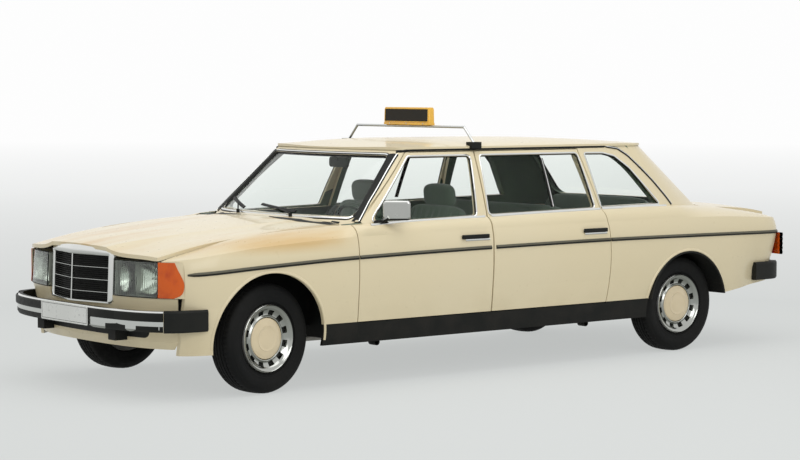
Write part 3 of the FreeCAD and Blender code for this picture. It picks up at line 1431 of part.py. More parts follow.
def main():
    os.makedirs("parts", exist_ok=True)
    nodes = {}

    left_frame = side_frame_left()
    right_frame = mirrored(left_frame)
    nodes["side_frame_left"] = left_frame
    nodes["side_frame_right"] = right_frame
    nodes["glass_house"] = glass_house([left_frame, right_frame])
    nodes["roof"] = roof()
    left_wing = front_wing_left()
    right_wing = mirrored(left_wing)
    nodes["front_wings"] = [left_wing, right_wing]
    nodes["nose_panel"] = nose_panel()
    nodes["tail_panel"] = tail_panel()
    nodes["bonnet"] = bonnet()
    nodes["grille"] = seated(grille(), nodes["bonnet"])
    nodes["boot_lid"] = boot_lid()
    nodes["headlamps"] = [headlamp_left(), mirrored(headlamp_left())]
    nodes["indicators"] = [indicator_left(), mirrored(indicator_left())]
    nodes["tail_lamps"] = [tail_lamp_left(), mirrored(tail_lamp_left())]
    body_parts = [left_frame, right_frame, left_wing, right_wing]
    nodes["floor_pan"] = floor_pan(body_parts + [nodes["nose_panel"], nodes["tail_panel"]])
    nodes["cowl"] = cowl(body_parts + [nodes["floor_pan"], nodes["glass_house"]])

    nodes["jack_tubes"] = jack_tubes()
    grown = side_slab(-SEAT_GAP, 60)
    sides = [grown, mirrored(grown)]
    front_bar = bumper_bar(0.0, 1, nodes["nose_panel"], sides)
    rear_bar = bumper_bar(BUMPER_RISE, -1, nodes["tail_panel"], sides)
    nodes["bumpers"] = [front_bar, rear_bar]
    rubbers = bumper_rubber(0.0, 1, front_bar, sides) + bumper_rubber(BUMPER_RISE, -1, rear_bar, sides)
    nodes["bumper_rubbers"] = rubbers

    nodes["windscreen"] = pane(windscreen_prism(), side=False)
    nodes["rear_window"] = pane(rear_window_prism(), side=False)
    quarter = pane(quarter_window_prism())
    nodes["quarter_windows"] = [quarter, mirrored(quarter)]

    front_door = joined([door(front_door_outline, FRONT_WINDOW)] + handle(*HANDLE_XS[0]))
    rear_door = joined([door(rear_door_outline, REAR_WINDOW)] + handle(*HANDLE_XS[1]))
    front_glass = pane(window_prism(FRONT_WINDOW))
    rear_glass = pane(window_prism(REAR_WINDOW))
    for name, shape in (("front", front_door), ("rear", rear_door)):
        nodes[name + "_door_left"] = shape
        nodes[name + "_door_right"] = mirrored(shape)
    for name, shape in (("front", front_glass), ("rear", rear_glass)):
        nodes[name + "_glass_left"] = shape
        nodes[name + "_glass_right"] = mirrored(shape)
    nodes["door_mirror"] = seated(door_mirror(), front_door, front_glass)

    nodes["front_axle"] = front_axle()
    nodes["rear_axle"] = rear_axle()
    nodes["engine"] = engine()
    nodes["exhaust"] = exhaust()
    for name, side in (("left", 1), ("right", -1)):
        nodes["knuckle_" + name] = knuckle(side)
        nodes["front_tyre_" + name] = at_wheel(tyre(), FRONT_AXLE_X, FRONT_TRACK, side, True)
        nodes["front_wheel_" + name] = at_wheel(wheel(), FRONT_AXLE_X, FRONT_TRACK, side, True)
        nodes["rear_tyre_" + name] = at_wheel(tyre(), REAR_AXLE_X, REAR_TRACK, side, False)
        nodes["rear_wheel_" + name] = at_wheel(wheel(), REAR_AXLE_X, REAR_TRACK, side, False)

    nodes["front_seats"] = front_seats()
    nodes["bench_seats"] = bench_seats()
    nodes["dashboard"] = seated(dashboard(), left_frame, right_frame, nodes["cowl"], nodes["glass_house"])
    nodes["steering_wheel"] = steering_wheel()
    nodes["sign_carrier"] = sign_carrier(nodes["roof"], [nodes["glass_house"]])
    nodes["roof_sign"] = roof_sign()
    nodes["wipers"] = wipers(nodes["cowl"])

    for name, shape in nodes.items():
        if isinstance(shape, list):
            shape = Part.makeCompound(shape)
        shape.exportStep("parts/" + name + ".step")
        print(name, len(shape.Solids), shape.isValid(), round(shape.Volume / 1e6, 1))


main()
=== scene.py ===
"""Looks of the long-wheelbase taxi: materials, trims, lamps, wheels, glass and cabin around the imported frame.

Row frame in metres: +X towards the nose, +Y to the car's left, +Z up, origin on the ground.
"""

import math

import bmesh
import bpy
from mathutils import Matrix, Vector
from mathutils.bvhtree import BVHTree


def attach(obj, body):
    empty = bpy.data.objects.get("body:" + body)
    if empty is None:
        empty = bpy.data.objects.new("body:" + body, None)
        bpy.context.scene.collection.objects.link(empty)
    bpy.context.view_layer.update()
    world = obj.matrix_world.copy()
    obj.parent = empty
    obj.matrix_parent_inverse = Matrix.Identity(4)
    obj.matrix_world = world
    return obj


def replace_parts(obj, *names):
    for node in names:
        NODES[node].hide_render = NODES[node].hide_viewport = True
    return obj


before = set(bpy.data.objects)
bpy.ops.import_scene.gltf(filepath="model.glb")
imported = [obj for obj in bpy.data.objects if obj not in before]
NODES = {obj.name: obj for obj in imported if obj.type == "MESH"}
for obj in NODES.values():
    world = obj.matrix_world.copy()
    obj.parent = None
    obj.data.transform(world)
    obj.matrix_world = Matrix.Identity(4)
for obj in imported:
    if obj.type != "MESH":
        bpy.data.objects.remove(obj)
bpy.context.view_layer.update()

PHOTO_WIDTH, PHOTO_HEIGHT = 800, 460
CAMERA_PLACE = Vector((9.19743, 11.12205, 1.75426))
CAMERA_YAW, CAMERA_PITCH, CAMERA_ROLL = 4.02392836, 0.0631247, 0.00290228
FOCAL_PIXELS = 2208.48
PHOTO_AXIS = (414.75, 229.13)
SENSOR = 36.0
CAMERA_REACH = 400.0

WORLD_LEVEL = 0.62
# Place, target and size of the two soft lamps
TOP_LIGHT = ((1.0, 1.0, 6.0), (0, 0, 0.6), (9.0, 5.0))
SIDE_LIGHT = ((2.5, 8.0, 4.0), (0, 0, 0.7), (7.0, 3.0))
TOP_POWER, SIDE_POWER = 185.0, 145.0

SIDES = ((1, "left"), (-1, "right"))
UP = Vector((0, 0, 1))


# Materials


class Finish:
    """A Principled material with short ways to add its procedural nodes."""

    def __init__(self, name, color, rough=0.5, **sockets):
        self.mat = bpy.data.materials.new(name)
        self.mat.use_nodes = True
        self.tree = self.mat.node_tree
        self.bsdf = self.tree.nodes["Principled BSDF"]
        self.color = (*color, 1)
        self.bsdf.inputs["Base Color"].default_value = self.color
        self.bsdf.inputs["Roughness"].default_value = rough
        for socket, value in sockets.items():
            self.bsdf.inputs[socket.replace("_", " ")].default_value = value
        self.point = self.add("ShaderNodeTexCoord").outputs["Object"]
        self.mat.diffuse_color = self.color

    def add(self, kind, **inputs):
        node = self.tree.nodes.new(kind)
        for name, value in inputs.items():
            self.feed(node.inputs[name.replace("_", " ")], value)
        return node

    def feed(self, socket, value):
        if isinstance(value, bpy.types.NodeSocket):
            self.tree.links.new(value, socket)
        else:
            socket.default_value = value

    def noise(self, scale, detail=3.0, stretch=(1, 1, 1)):
        place = self.add("ShaderNodeMapping", Vector=self.point, Scale=stretch).outputs[0]
        return self.add("ShaderNodeTexNoise", Vector=place, Scale=scale, Detail=detail).outputs["Fac"]

    def wave(self, scale, axis="X", distortion=0.0):
        node = self.add("ShaderNodeTexWave", Vector=self.point, Scale=scale, Distortion=distortion)
        node.bands_direction = axis
        return node.outputs["Fac"]

    def remap(self, value, low, high, new_low=0.0, new_high=1.0):
        node = self.add(
            "ShaderNodeMapRange", Value=value, From_Min=low, From_Max=high, To_Min=new_low, To_Max=new_high
        )
        return node.outputs[0]

    def math(self, kind, a, b=0.5):
        node = self.tree.nodes.new("ShaderNodeMath")
        node.operation = kind
        self.feed(node.inputs[0], a)
        self.feed(node.inputs[1], b)
        return node.outputs[0]

    def axis(self, k):
        return self.add("ShaderNodeSeparateXYZ", Vector=self.point).outputs[k]

    def tint(self, share, color):
        """Paint color over what is there, by share."""
        node = self.tree.nodes.new("ShaderNodeMix")
        node.data_type = "RGBA"
        socket = self.bsdf.inputs["Base Color"]
        below = socket.links[0].from_socket if socket.links else self.color
        self.feed(node.inputs[0], share)
        self.feed(node.inputs[6], below)
        self.feed(node.inputs[7], (*color, 1))
        self.feed(socket, node.outputs[2])
        return self

    def rough(self, value, low, high, new_low, new_high):
        self.feed(self.bsdf.inputs["Roughness"], self.remap(value, low, high, new_low, new_high))
        return self

    def bump(self, height, strength, distance):
        socket = self.bsdf.inputs["Normal"]
        node = self.add("ShaderNodeBump", Strength=strength, Distance=distance, Height=height)
        if socket.links:
            self.feed(node.inputs["Normal"], socket.links[0].from_socket)
        self.feed(socket, node.outputs[0])
        return self


def speckled(name, color, other, rough, scale=40.0, share=0.5, grain=600.0, strength=0.15, **sockets):
    """A finish with slow colour drift, fine grain and uneven gloss."""
    f = Finish(name, color, rough, **sockets)
    slow = f.noise(scale * 0.08, 2.0)
    fine = f.noise(scale, 4.0)
    f.tint(f.remap(slow, 0.35, 0.7, 0.0, share), other)
    f.tint(f.remap(fine, 0.45, 0.8, 0.0, share * 0.5), other)
    f.rough(fine, 0.3, 0.7, max(rough - 0.06, 0.02), min(rough + 0.08, 1.0))
    f.bump(f.noise(grain, 3.0), strength, 0.0004)
    return f


PAINT_COLOR = (0.715, 0.620, 0.412)


def body_paint():
    """Old cream paint: pale drift, a darker, browner tint low on the sides, brown streaks near the screen and
    brown patches on the bonnet.
    """
    gloss = {"Coat_Weight": 0.35, "Coat_Roughness": 0.035, "Specular_IOR_Level": 0.25}
    f = Finish("body_paint", PAINT_COLOR, 0.32, **gloss)
    slow = f.noise(0.9, 3.0)
    f.tint(f.remap(slow, 0.42, 0.72, 0.0, 0.22), (0.74, 0.67, 0.50))
    height = f.axis(2)
    # Darker, browner towards the bottom of the sides, in patches
    low = f.remap(height, 0.56, 0.26, 0.0, 0.5)
    f.tint(f.math("MULTIPLY", low, f.remap(f.noise(5.0, 5.0), 0.35, 0.75)), (0.56, 0.47, 0.29))
    # Brown streaks on the top near the screen, and brown patches over the bonnet's front part
    streaks = f.remap(f.noise(3.0, 5.0, (0.6, 6.0, 0.6)), 0.55, 0.8, 0.0, 0.35)
    near_screen = f.remap(f.math("ABSOLUTE", f.math("SUBTRACT", f.axis(0), 1.22)), 0.02, 0.55, 1.0, 0.0)
    on_top = f.remap(height, 0.88, 0.93, 0.0, 1.0)
    below_glass = f.remap(height, 1.02, 0.98, 0.0, 1.0)
    place = f.math("MULTIPLY", f.math("MULTIPLY", near_screen, on_top), below_glass)
    f.tint(f.math("MULTIPLY", place, streaks), (0.62, 0.40, 0.14))
    bonnet = f.math("MULTIPLY", f.remap(f.axis(0), 1.15, 1.35), f.remap(height, 0.80, 0.86))
    brown_patches = f.remap(f.noise(1.6, 5.0, (0.5, 3.0, 0.8)), 0.44, 0.68, 0.0, 0.75)
    f.tint(f.math("MULTIPLY", bonnet, brown_patches), (0.60, 0.38, 0.13))
    f.rough(f.noise(30.0, 4.0), 0.3, 0.7, 0.27, 0.38)
    f.bump(f.noise(260.0, 2.0), 0.035, 0.0003)
    return f


def glass(name, color, ior=1.45):
    f = Finish(name, color, 0.0, Transmission_Weight=1.0, IOR=ior)
    f.rough(f.noise(7.0, 4.0), 0.45, 0.8, 0.0, 0.03)
    return f


def chrome(name, color=(0.70, 0.71, 0.69), rough=0.09):
    f = Finish(name, color, rough, Metallic=1.0)
    f.rough(f.noise(18.0, 5.0), 0.3, 0.75, rough * 0.6, rough * 2.0)
    f.tint(f.remap(f.noise(5.0, 4.0), 0.5, 0.85, 0.0, 0.25), (0.55, 0.54, 0.50))
    # Painted shade: faces turned downwards get a dark tint, up to three quarters of it
    normal = f.add("ShaderNodeNewGeometry").outputs["Normal"]
    facing = f.add("ShaderNodeSeparateXYZ", Vector=normal).outputs[2]
    f.tint(f.remap(facing, 0.15, -0.55, 0.0, 0.75), (0.16, 0.165, 0.14))
    f.bump(f.noise(90.0, 2.0), 0.02, 0.0003)
    return f


def woven(name, color, other, scale=900.0):
    """Cloth with a visible cross weave."""
    f = Finish(name, color, 0.85, Sheen_Weight=0.3, Sheen_Roughness=0.5)
    weave = f.math("MULTIPLY", f.wave(scale, "X"), f.wave(scale, "Y"))
    f.tint(f.remap(weave, 0.1, 0.7, 0.0, 0.6), other)
    f.tint(f.remap(f.noise(12.0, 4.0), 0.45, 0.75, 0.0, 0.4), other)
    f.bump(weave, 0.35, 0.0006)
    return f


def lens(name, color, other):
    """Moulded coloured plastic over a bright bowl, with fine prisms inside."""
    f = Finish(name, color, 0.12, Coat_Weight=0.3, Coat_Roughness=0.03, Specular_IOR_Level=0.2, IOR=1.49)
    f.tint(f.remap(f.noise(16.0, 3.0), 0.42, 0.72, 0.0, 0.8), other)
    f.bump(f.wave(70.0, "Z"), 0.25, 0.001)
    f.bump(f.wave(55.0, "Y"), 0.2, 0.001)
    return f


PAINT = body_paint()
CHROME = chrome("bright_metal")
SATIN = chrome("satin_metal", (0.56, 0.57, 0.56), 0.3)
GREY_METAL = speckled("steel_grey", (0.34, 0.34, 0.33), (0.20, 0.17, 0.13), 0.45, Metallic=0.8)
RUST = speckled("underbody_iron", (0.055, 0.050, 0.045), (0.13, 0.065, 0.03), 0.75, 60.0, 0.7, 500.0, 0.5)
DULL = {"Specular_IOR_Level": 0.16}
RUBBER = speckled(
    "black_rubber", (0.007, 0.008, 0.007), (0.018, 0.018, 0.015), 0.5, 50.0, 0.6, 900.0, 0.2, **DULL
)
SILL_BLACK = speckled(
    "underseal_black", (0.007, 0.008, 0.007), (0.02, 0.018, 0.015), 0.6, 90.0, 0.6, 420.0, 0.5, **DULL
)
# Lighter grey-brown for the rub strip's top: a painted highlight
STRIP_GREY = speckled("strip_grey", (0.12, 0.115, 0.085), (0.07, 0.065, 0.045), 0.45, 50.0, 0.5, **DULL)
TYRE = speckled(
    "tyre_rubber", (0.0045, 0.005, 0.005), (0.014, 0.0135, 0.012), 0.7, 30.0, 0.6, 700.0, 0.45, **DULL
)
GLASS = glass("window_glass", (0.955, 0.98, 0.962), 1.14)
LAMP_GLASS = glass("lamp_glass", (0.86, 0.91, 0.86))
# Darker copy of the bright metal for the wheel covers: painted shade on their upright faces
COVER_CHROME = chrome("cover_metal", (0.40, 0.41, 0.385), 0.10)
REFLECTOR = chrome("lamp_reflector", (0.84, 0.87, 0.83), 0.2)
LAMP_BODY = speckled("lamp_housing", (0.40, 0.42, 0.37), (0.25, 0.27, 0.235), 0.35, Metallic=0.4)
AMBER = lens("amber_lens", (0.66, 0.105, 0.004), (0.46, 0.045, 0.003))
RED = lens("red_lens", (0.48, 0.010, 0.006), (0.28, 0.004, 0.004))
CLEAR_LENS = lens("clear_lens", (0.72, 0.72, 0.70), (0.5, 0.5, 0.48))
TRIM_GRAIN = (60.0, 0.6, 500.0, 0.5)
CABIN = speckled("cabin_trim", (0.095, 0.135, 0.096), (0.125, 0.172, 0.122), 0.62, *TRIM_GRAIN, **DULL)
CABIN_DARK = speckled("cabin_dark", (0.036, 0.050, 0.037), (0.055, 0.072, 0.053), 0.55, *TRIM_GRAIN, **DULL)
FABRIC = woven("seat_fabric", (0.105, 0.148, 0.108), (0.064, 0.092, 0.066))
CARPET = woven("carpet", (0.030, 0.038, 0.030), (0.018, 0.022, 0.018), 500.0)
HEADLINER = speckled("headliner", (0.52, 0.53, 0.49), (0.42, 0.43, 0.39), 0.85, 50.0, 0.5, 400.0, 0.6)
SIGN_YELLOW = speckled(
    "sign_yellow", (0.80, 0.46, 0.035), (0.68, 0.34, 0.02), 0.28, 20.0, 0.6, 400.0, 0.08, Coat_Weight=0.6
)
SIGN_BLACK = speckled(
    "sign_black", (0.012, 0.011, 0.008), (0.030, 0.022, 0.012), 0.4, 30.0, 0.5, 400.0, 0.1, **DULL
)
PLATE = speckled("plate_white", (0.78, 0.79, 0.76), (0.66, 0.67, 0.63), 0.3, 30.0, 0.5, 500.0, 0.06)
MIRROR_SHELL = chrome("mirror_shell", (0.50, 0.51, 0.49), 0.16)
MIRROR_GLASS = chrome("mirror_glass", (0.86, 0.88, 0.88), 0.02)
DISC = Finish("cover_paint", (0.72, 0.60, 0.39), 0.3, Coat_Weight=0.7, Coat_Roughness=0.05)
DISC.tint(DISC.remap(DISC.noise(9.0, 4.0), 0.4, 0.75, 0.0, 0.5), (0.60, 0.49, 0.30))
DISC.bump(DISC.noise(240.0, 2.0), 0.04, 0.0003)


# Meshes


def piece(name, verts, faces, finishes, body="root", smooth=True, indices=None):
    """A new object of the scene that rides on a CAD body."""
    mesh = bpy.data.meshes.new(name)
    mesh.from_pydata([tuple(v) for v in verts], [], [tuple(f) for f in faces])
    if indices:
        mesh.polygons.foreach_set("material_index", indices)
    mesh.validate()
    work = bmesh.new()
    work.from_mesh(mesh)
    bmesh.ops.remove_doubles(work, verts=work.verts, dist=1e-6)
    bmesh.ops.recalc_face_normals(work, faces=work.faces)
    work.to_mesh(mesh)
    work.free()
    for finish in finishes if isinstance(finishes, (list, tuple)) else [finishes]:
        mesh.materials.append(finish.mat)
    mesh.polygons.foreach_set("use_smooth", [smooth] * len(mesh.polygons))
    if smooth:
        mesh.set_sharp_from_angle(angle=math.radians(38))
    obj = bpy.data.objects.new(name, mesh)
    bpy.context.scene.collection.objects.link(obj)
    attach(obj, body)
    return obj


class Build:
    """Collects several solids into one piece."""

    def __init__(self):
        self.verts = []
        self.faces = []
        self.indices = []

    def take(self, verts, faces, index=0, matrix=None):
        start = len(self.verts)
        self.verts += [matrix @ Vector(v) for v in verts] if matrix else [Vector(v) for v in verts]
        self.faces += [[start + i for i in f] for f in faces]
        self.indices += list(index) if isinstance(index, (list, tuple)) else [index] * len(faces)
        return self

    def done(self, name, finishes, body="root", slot=None, smooth=True):
        return piece(name, self.verts, self.faces, finishes, body, smooth, self.indices)


def ring_faces(rings, size, closed=False, caps=True):
    """Quads between rings of the same size, with end caps where the run is open."""
    faces = []
    for i in range(rings if closed else rings - 1):
        a, b = i * size, (i + 1) % rings * size
        for k in range(size):
            n = (k + 1) % size
            faces.append((a + k, a + n, b + n, b + k))
    if caps and not closed:
        faces.append(tuple(range(size)))
        faces.append(tuple(reversed(range((rings - 1) * size, rings * size))))
    return faces


def sweep(points, normals, profile, hint, closed=False, scales=None):
    """(verts, faces) of a band along points. profile is a ring of (across, out); hint(p) points across."""
    verts = []
    last = len(points) - 1
    for i, p in enumerate(points):
        if closed:
            a, b = points[i - 1], points[(i + 1) % len(points)]
        else:
            a, b = points[max(i - 1, 0)], points[min(i + 1, last)]
        t = (b - a).normalized()
        n = (normals[i] - t * normals[i].dot(t)).normalized()
        s = t.cross(n)
        if s.dot(hint(p)) < 0:
            s = -s
        k = scales[i] if scales else 1.0
        verts += [p + s * (u * k) + n * (h * k if h > 0 else h) for u, h in profile]
    return verts, ring_faces(len(points), len(profile), closed)


def segment_indices(points, pattern, closed=False):
    """Material index of each face of a sweep: pattern gives one for each side of the ring."""
    runs = len(points) if closed else len(points) - 1
    return pattern * runs + ([] if closed else [pattern[0]] * 2)


def trim(
    name, run, profile, hint, finishes, body="root", slot="black_rubber", indices=0, closed=False, scales=None
):
    """A band swept along run, which is (places, normals), as a piece of its own."""
    verts, faces = sweep(*run, profile, hint, closed, scales)
    return Build().take(verts, faces, indices).done(name, finishes, body, slot)


def away_from_middle(places):
    """Hint for a closed band: out from the middle of its places."""
    middle = sum(places, Vector()) / len(places)
    return lambda p: p - middle


def rectangle(half_u, half_v):
    return [(half_u, half_v), (-half_u, half_v), (-half_u, -half_v), (half_u, -half_v)]


def raised_edge(build, half_y, half_z, radius, grow, x, profile, index, place):
    """Adds a raised edge round an upright rectangle in the plane at x."""
    outline = rounded_outline(rectangle(half_y, half_z), radius, grow)
    points = [Vector((x, p.x, p.y)) for p in outline]
    ahead = [Vector((1, 0, 0))] * len(points)
    verts, faces = sweep(points, ahead, profile, lambda p: Vector((0, p.y, p.z)), True)
    return build.take(verts, faces, index, place)


def turned(profile, count):
    """Solid of revolution about Y from a ring of (radius, y)."""
    verts = []
    for i in range(count):
        a = 2 * math.pi * i / count
        verts += [Vector((r * math.cos(a), y, r * math.sin(a))) for r, y in profile]
    return verts, ring_faces(count, len(profile), True)


def rounded_slab(width, height, depth, radius, bevel=0.001, steps=5):
    """Slab with rounded corners in its own plane: x is depth, y width, z height; front face at x = depth."""
    rings = []
    for x, inset in ((0, 0), (depth - bevel, 0), (depth, bevel)):
        ring = []
        for cy, cz, start in ((1, 1, 0), (-1, 1, 90), (-1, -1, 180), (1, -1, 270)):
            for k in range(steps + 1):
                a = math.radians(start + 90 * k / steps)
                r = radius - inset
                y = cy * (width / 2 - radius) + r * math.cos(a)
                z = cz * (height / 2 - radius) + r * math.sin(a)
                ring.append((x, y, z))
        rings.append(ring)
    size = len(rings[0])
    return [p for ring in rings for p in ring], ring_faces(len(rings), size)


def rod(a, b, radius, count=12, radius_b=None):
    """Round bar from a to b."""
    a, b = Vector(a), Vector(b)
    d = (b - a).normalized()
    s = d.cross(UP if abs(d.z) < 0.9 else Vector((1, 0, 0))).normalized()
    t = d.cross(s)
    verts = []
    for p, r in ((a, radius), (b, radius if radius_b is None else radius_b)):
        for k in range(count):
            q = 2 * math.pi * k / count
            verts.append(p + s * (r * math.cos(q)) + t * (r * math.sin(q)))
    return verts, ring_faces(2, count)


def cuboid(low, high, bevel=0.004):
    """Box with rounded edges."""
    mesh = bmesh.new()
    bmesh.ops.create_cube(mesh, size=1.0)
    for v in mesh.verts:
        v.co = Vector([low[k] if v.co[k] < 0 else high[k] for k in range(3)])
    bmesh.ops.bevel(mesh, geom=mesh.edges[:], offset=bevel, segments=2, profile=0.5, affect="EDGES")
    mesh.verts.index_update()
    verts = [v.co.copy() for v in mesh.verts]
    faces = [[v.index for v in f.verts] for f in mesh.faces]
    mesh.free()
    return verts, faces


# Rays onto the CAD shapes

TREES = {}


def tree(name):
    if name not in TREES:
        mesh = NODES[name].data
        TREES[name] = BVHTree.FromPolygons([v.co for v in mesh.vertices], [p.vertices for p in mesh.polygons])
    return TREES[name]


def cast(origin, direction, names):
    """Nearest hit on the named nodes: (place, normal), or None."""
    best = None
    for name in names:
        place, normal, _, distance = tree(name).ray_cast(Vector(origin), Vector(direction))
        if place is not None and (best is None or distance < best[2]):
            best = (place, normal, distance)
    return best[:2] if best else None


def from_side(x, z, side, names):
    return cast((x, side * 2.0, z), (0, -side, 0), names)


def from_front(y, z, names):
    return cast((3.5, y, z), (-1, 0, 0), names)


def from_back(y, z, names):
    return cast((-3.5, y, z), (1, 0, 0), names)


def from_above(x, y, names):
    return cast((x, y, 2.5), (0, 0, -1), names)


def smooth_normals(hits, closed=False, reach=2):
    """Places and averaged normals of a run of hits."""
    places = [h[0] for h in hits]
    count = len(hits)
    normals = []
    for i in range(count):
        total = Vector()
        for k in range(i - reach, i + reach + 1):
            if closed or 0 <= k < count:
                total += hits[k % count][1]
        normals.append(total.normalized())
    return places, normals


def hits_of(points, caster):
    """The hits of a caster at points of (u, v), where there are any."""
    return [hit for hit in (caster(u, v) for u, v in points) if hit]


def spread(low, high, count):
    """Count numbers at equal steps from low to high."""
    return [low + (high - low) * i / (count - 1) for i in range(count)]


def resample(points, step, closed=False):
    """Points along a broken line at about equal steps."""
    points = [Vector(p) for p in points]
    if closed:
        points = points + [points[0]]
    lengths = [(b - a).length for a, b in zip(points, points[1:])]
    total = sum(lengths)
    count = max(int(round(total / step)), 2)
    out = []
    k, done = 0, 0.0
    for i in range(count if closed else count + 1):
        want = total * i / count
        while k < len(lengths) - 1 and done + lengths[k] < want:
            done += lengths[k]
            k += 1
        t = (want - done) / lengths[k] if lengths[k] else 0.0
        out.append(points[k].lerp(points[k + 1], min(t, 1.0)))
    return out


def resample_flat(line, step, closed=False):
    """The same for a line of (u, v)."""
    return [(q.x, q.y) for q in resample([(u, v, 0) for u, v in line], step, closed)]


def rounded_outline(corners, radius, grow=0.0, steps=5):
    """Closed outline with rounded corners, moved out from its middle by grow."""
    corners = [Vector(c) for c in corners]
    middle = sum(corners, Vector((0, 0))) / len(corners)
    count = len(corners)
    moved = []
    for i, c in enumerate(corners):
        a = (c - corners[i - 1]).normalized()
        b = (corners[(i + 1) % count] - c).normalized()
        na, nb = Vector((a.y, -a.x)), Vector((b.y, -b.x))
        if na.dot(c - middle) + nb.dot(c - middle) < 0:
            na, nb = -na, -nb
        m = (na + nb).normalized()
        moved.append(c + m * (grow / max(m.dot(na), 0.3)))
    out = []
    for i, c in enumerate(moved):
        a = (moved[i - 1] - c).normalized()
        b = (moved[(i + 1) % count] - c).normalized()
        half = math.acos(max(-1.0, min(1.0, a.dot(b)))) / 2
        reach = (radius + grow) / math.tan(half)
        p, q = c + a * reach, c + b * reach
        for k in range(steps + 1):
            t = k / steps
            out.append((1 - t) ** 2 * p + 2 * t * (1 - t) * c + t * t * q)
    return out


def between(table, x):
    """Smooth value at x on a line of (x, value) points."""
    if x <= table[0][0]:
        return float(table[0][1])
    if x >= table[-1][0]:
        return float(table[-1][1])
    i = max(k for k in range(len(table) - 1) if table[k][0] <= x)

    def slope(k):
        if k <= 0 or k >= len(table) - 1:
            j = min(max(k, 1), len(table) - 1)
            return (table[j][1] - table[j - 1][1]) / (table[j][0] - table[j - 1][0])
        before = (table[k][1] - table[k - 1][1]) / (table[k][0] - table[k - 1][0])
        after = (table[k + 1][1] - table[k][1]) / (table[k + 1][0] - table[k][0])
        return 0.0 if before * after <= 0 else 2 * before * after / (before + after)

    (x0, y0), (x1, y1) = table[i], table[i + 1]
    h = x1 - x0
    t = (x - x0) / h
    return (
        (1 + 2 * t) * (1 - t) ** 2 * y0 + t * (1 - t) ** 2 * h * slope(i)
        + t * t * (3 - 2 * t) * y1 + t * t * (t - 1) * h * slope(i + 1)
    )


# CAD nodes: finishes by where each face lies


def dress(name, finishes, rule=None):
    """Gives a CAD node its finishes; rule(centre, normal) picks one for each face."""
    mesh = NODES[name].data
    mesh.materials.clear()
    for finish in finishes if isinstance(finishes, (list, tuple)) else [finishes]:
        mesh.materials.append(finish.mat)
    picks = [rule(p.center, p.normal) for p in mesh.polygons] if rule else [0] * len(mesh.polygons)
    mesh.polygons.foreach_set("material_index", picks)


SILL_TOP_Z = 0.3825
SILL_REAR_X = -1.30
SILL_FRONT_X = 1.60
CABIN_X = (-1.5, 1.25)
LINING_DEPTH, DOOR_LINING_DEPTH = 0.045, 0.024
GRIP_Y, GRIP_Z = 0.8905, (0.83, 0.88)
FEET_Y, FEET_Z = 0.876, (0.842, 0.864)
SIDE_LEVELS = (
    (0.25, 0.853), (0.38, 0.869), (0.525, 0.886), (0.765, 0.893), (0.9, 0.874), (0.98, 0.818), (1.385, 0.64),
)


def skin_y(z):
    """Half width of the outer skin at height z, beside the cabin."""
    for (z0, y0), (z1, y1) in zip(SIDE_LEVELS, SIDE_LEVELS[1:]):
        if z <= z1:
            return y0 + (y1 - y0) * (z - z0) / (z1 - z0)
    return SIDE_LEVELS[-1][1]


def side_rule(c, n):
    """0 paint, 1 black sill, 2 cabin trim."""
    side = 1 if c.y > 0 else -1
    depth = skin_y(c.z) - abs(c.y)
    if c.z < SILL_TOP_Z and SILL_REAR_X < c.x < SILL_FRONT_X:
        return 1
    if depth > LINING_DEPTH and n.y * side < 0.35 and CABIN_X[0] < c.x < CABIN_X[1]:
        return 2
    return 0


def door_rule(c, n):
    """0 paint, 1 cabin trim, 2 black handle, 3 bright handle feet."""
    side = 1 if c.y > 0 else -1
    depth = skin_y(c.z) - abs(c.y)
    if abs(c.y) > GRIP_Y and GRIP_Z[0] < c.z < GRIP_Z[1]:
        return 2
    if abs(c.y) > FEET_Y and FEET_Z[0] < c.z < FEET_Z[1] and abs(n.y) < 0.3 and depth < -0.0005:
        return 3
    if depth > DOOR_LINING_DEPTH and n.y * side < -0.3:
        return 1
    return 0


def house_rule(c, n):
    """0 paint, 1 pale lining, 2 dark lining."""
    inward = n.y * (-1 if c.y > 0 else 1)
    ahead = c.x > 0.5
    inside = inward > 0.25 or (n.x < -0.3 and ahead) or (n.x > 0.3 and c.x < -1.2) or n.z < -0.6
    if not inside:
        return 0
    return 1 if ahead else 2


PLAIN_NODES = {
    "tail_panel": PAINT, "bonnet": PAINT, "boot_lid": PAINT, "grille": CHROME, "headlamps": LAMP_GLASS,
    "indicators": AMBER, "tail_lamps": RED, "jack_tubes": SILL_BLACK, "bumper_rubbers": RUBBER,
    "windscreen": GLASS, "rear_window": GLASS, "quarter_windows": GLASS, "front_axle": RUST,
    "rear_axle": RUST, "engine": RUST, "exhaust": GREY_METAL, "front_seats": FABRIC, "bench_seats": FABRIC,
    "dashboard": CABIN_DARK, "steering_wheel": CABIN_DARK, "roof_sign": SIGN_YELLOW, "wipers": RUBBER,
}


def bumper_rule(c, n):
    """0 bright, 1 black: the stubs behind the plate, and the bar's top, whose black is painted shade and
    reflection of the body above it.
    """
    stub = abs(c.y) < 0.43 and abs(c.x) < 2.60
    return 1 if stub or (abs(n.z) > 0.7 and c.z > 0.5) else 0


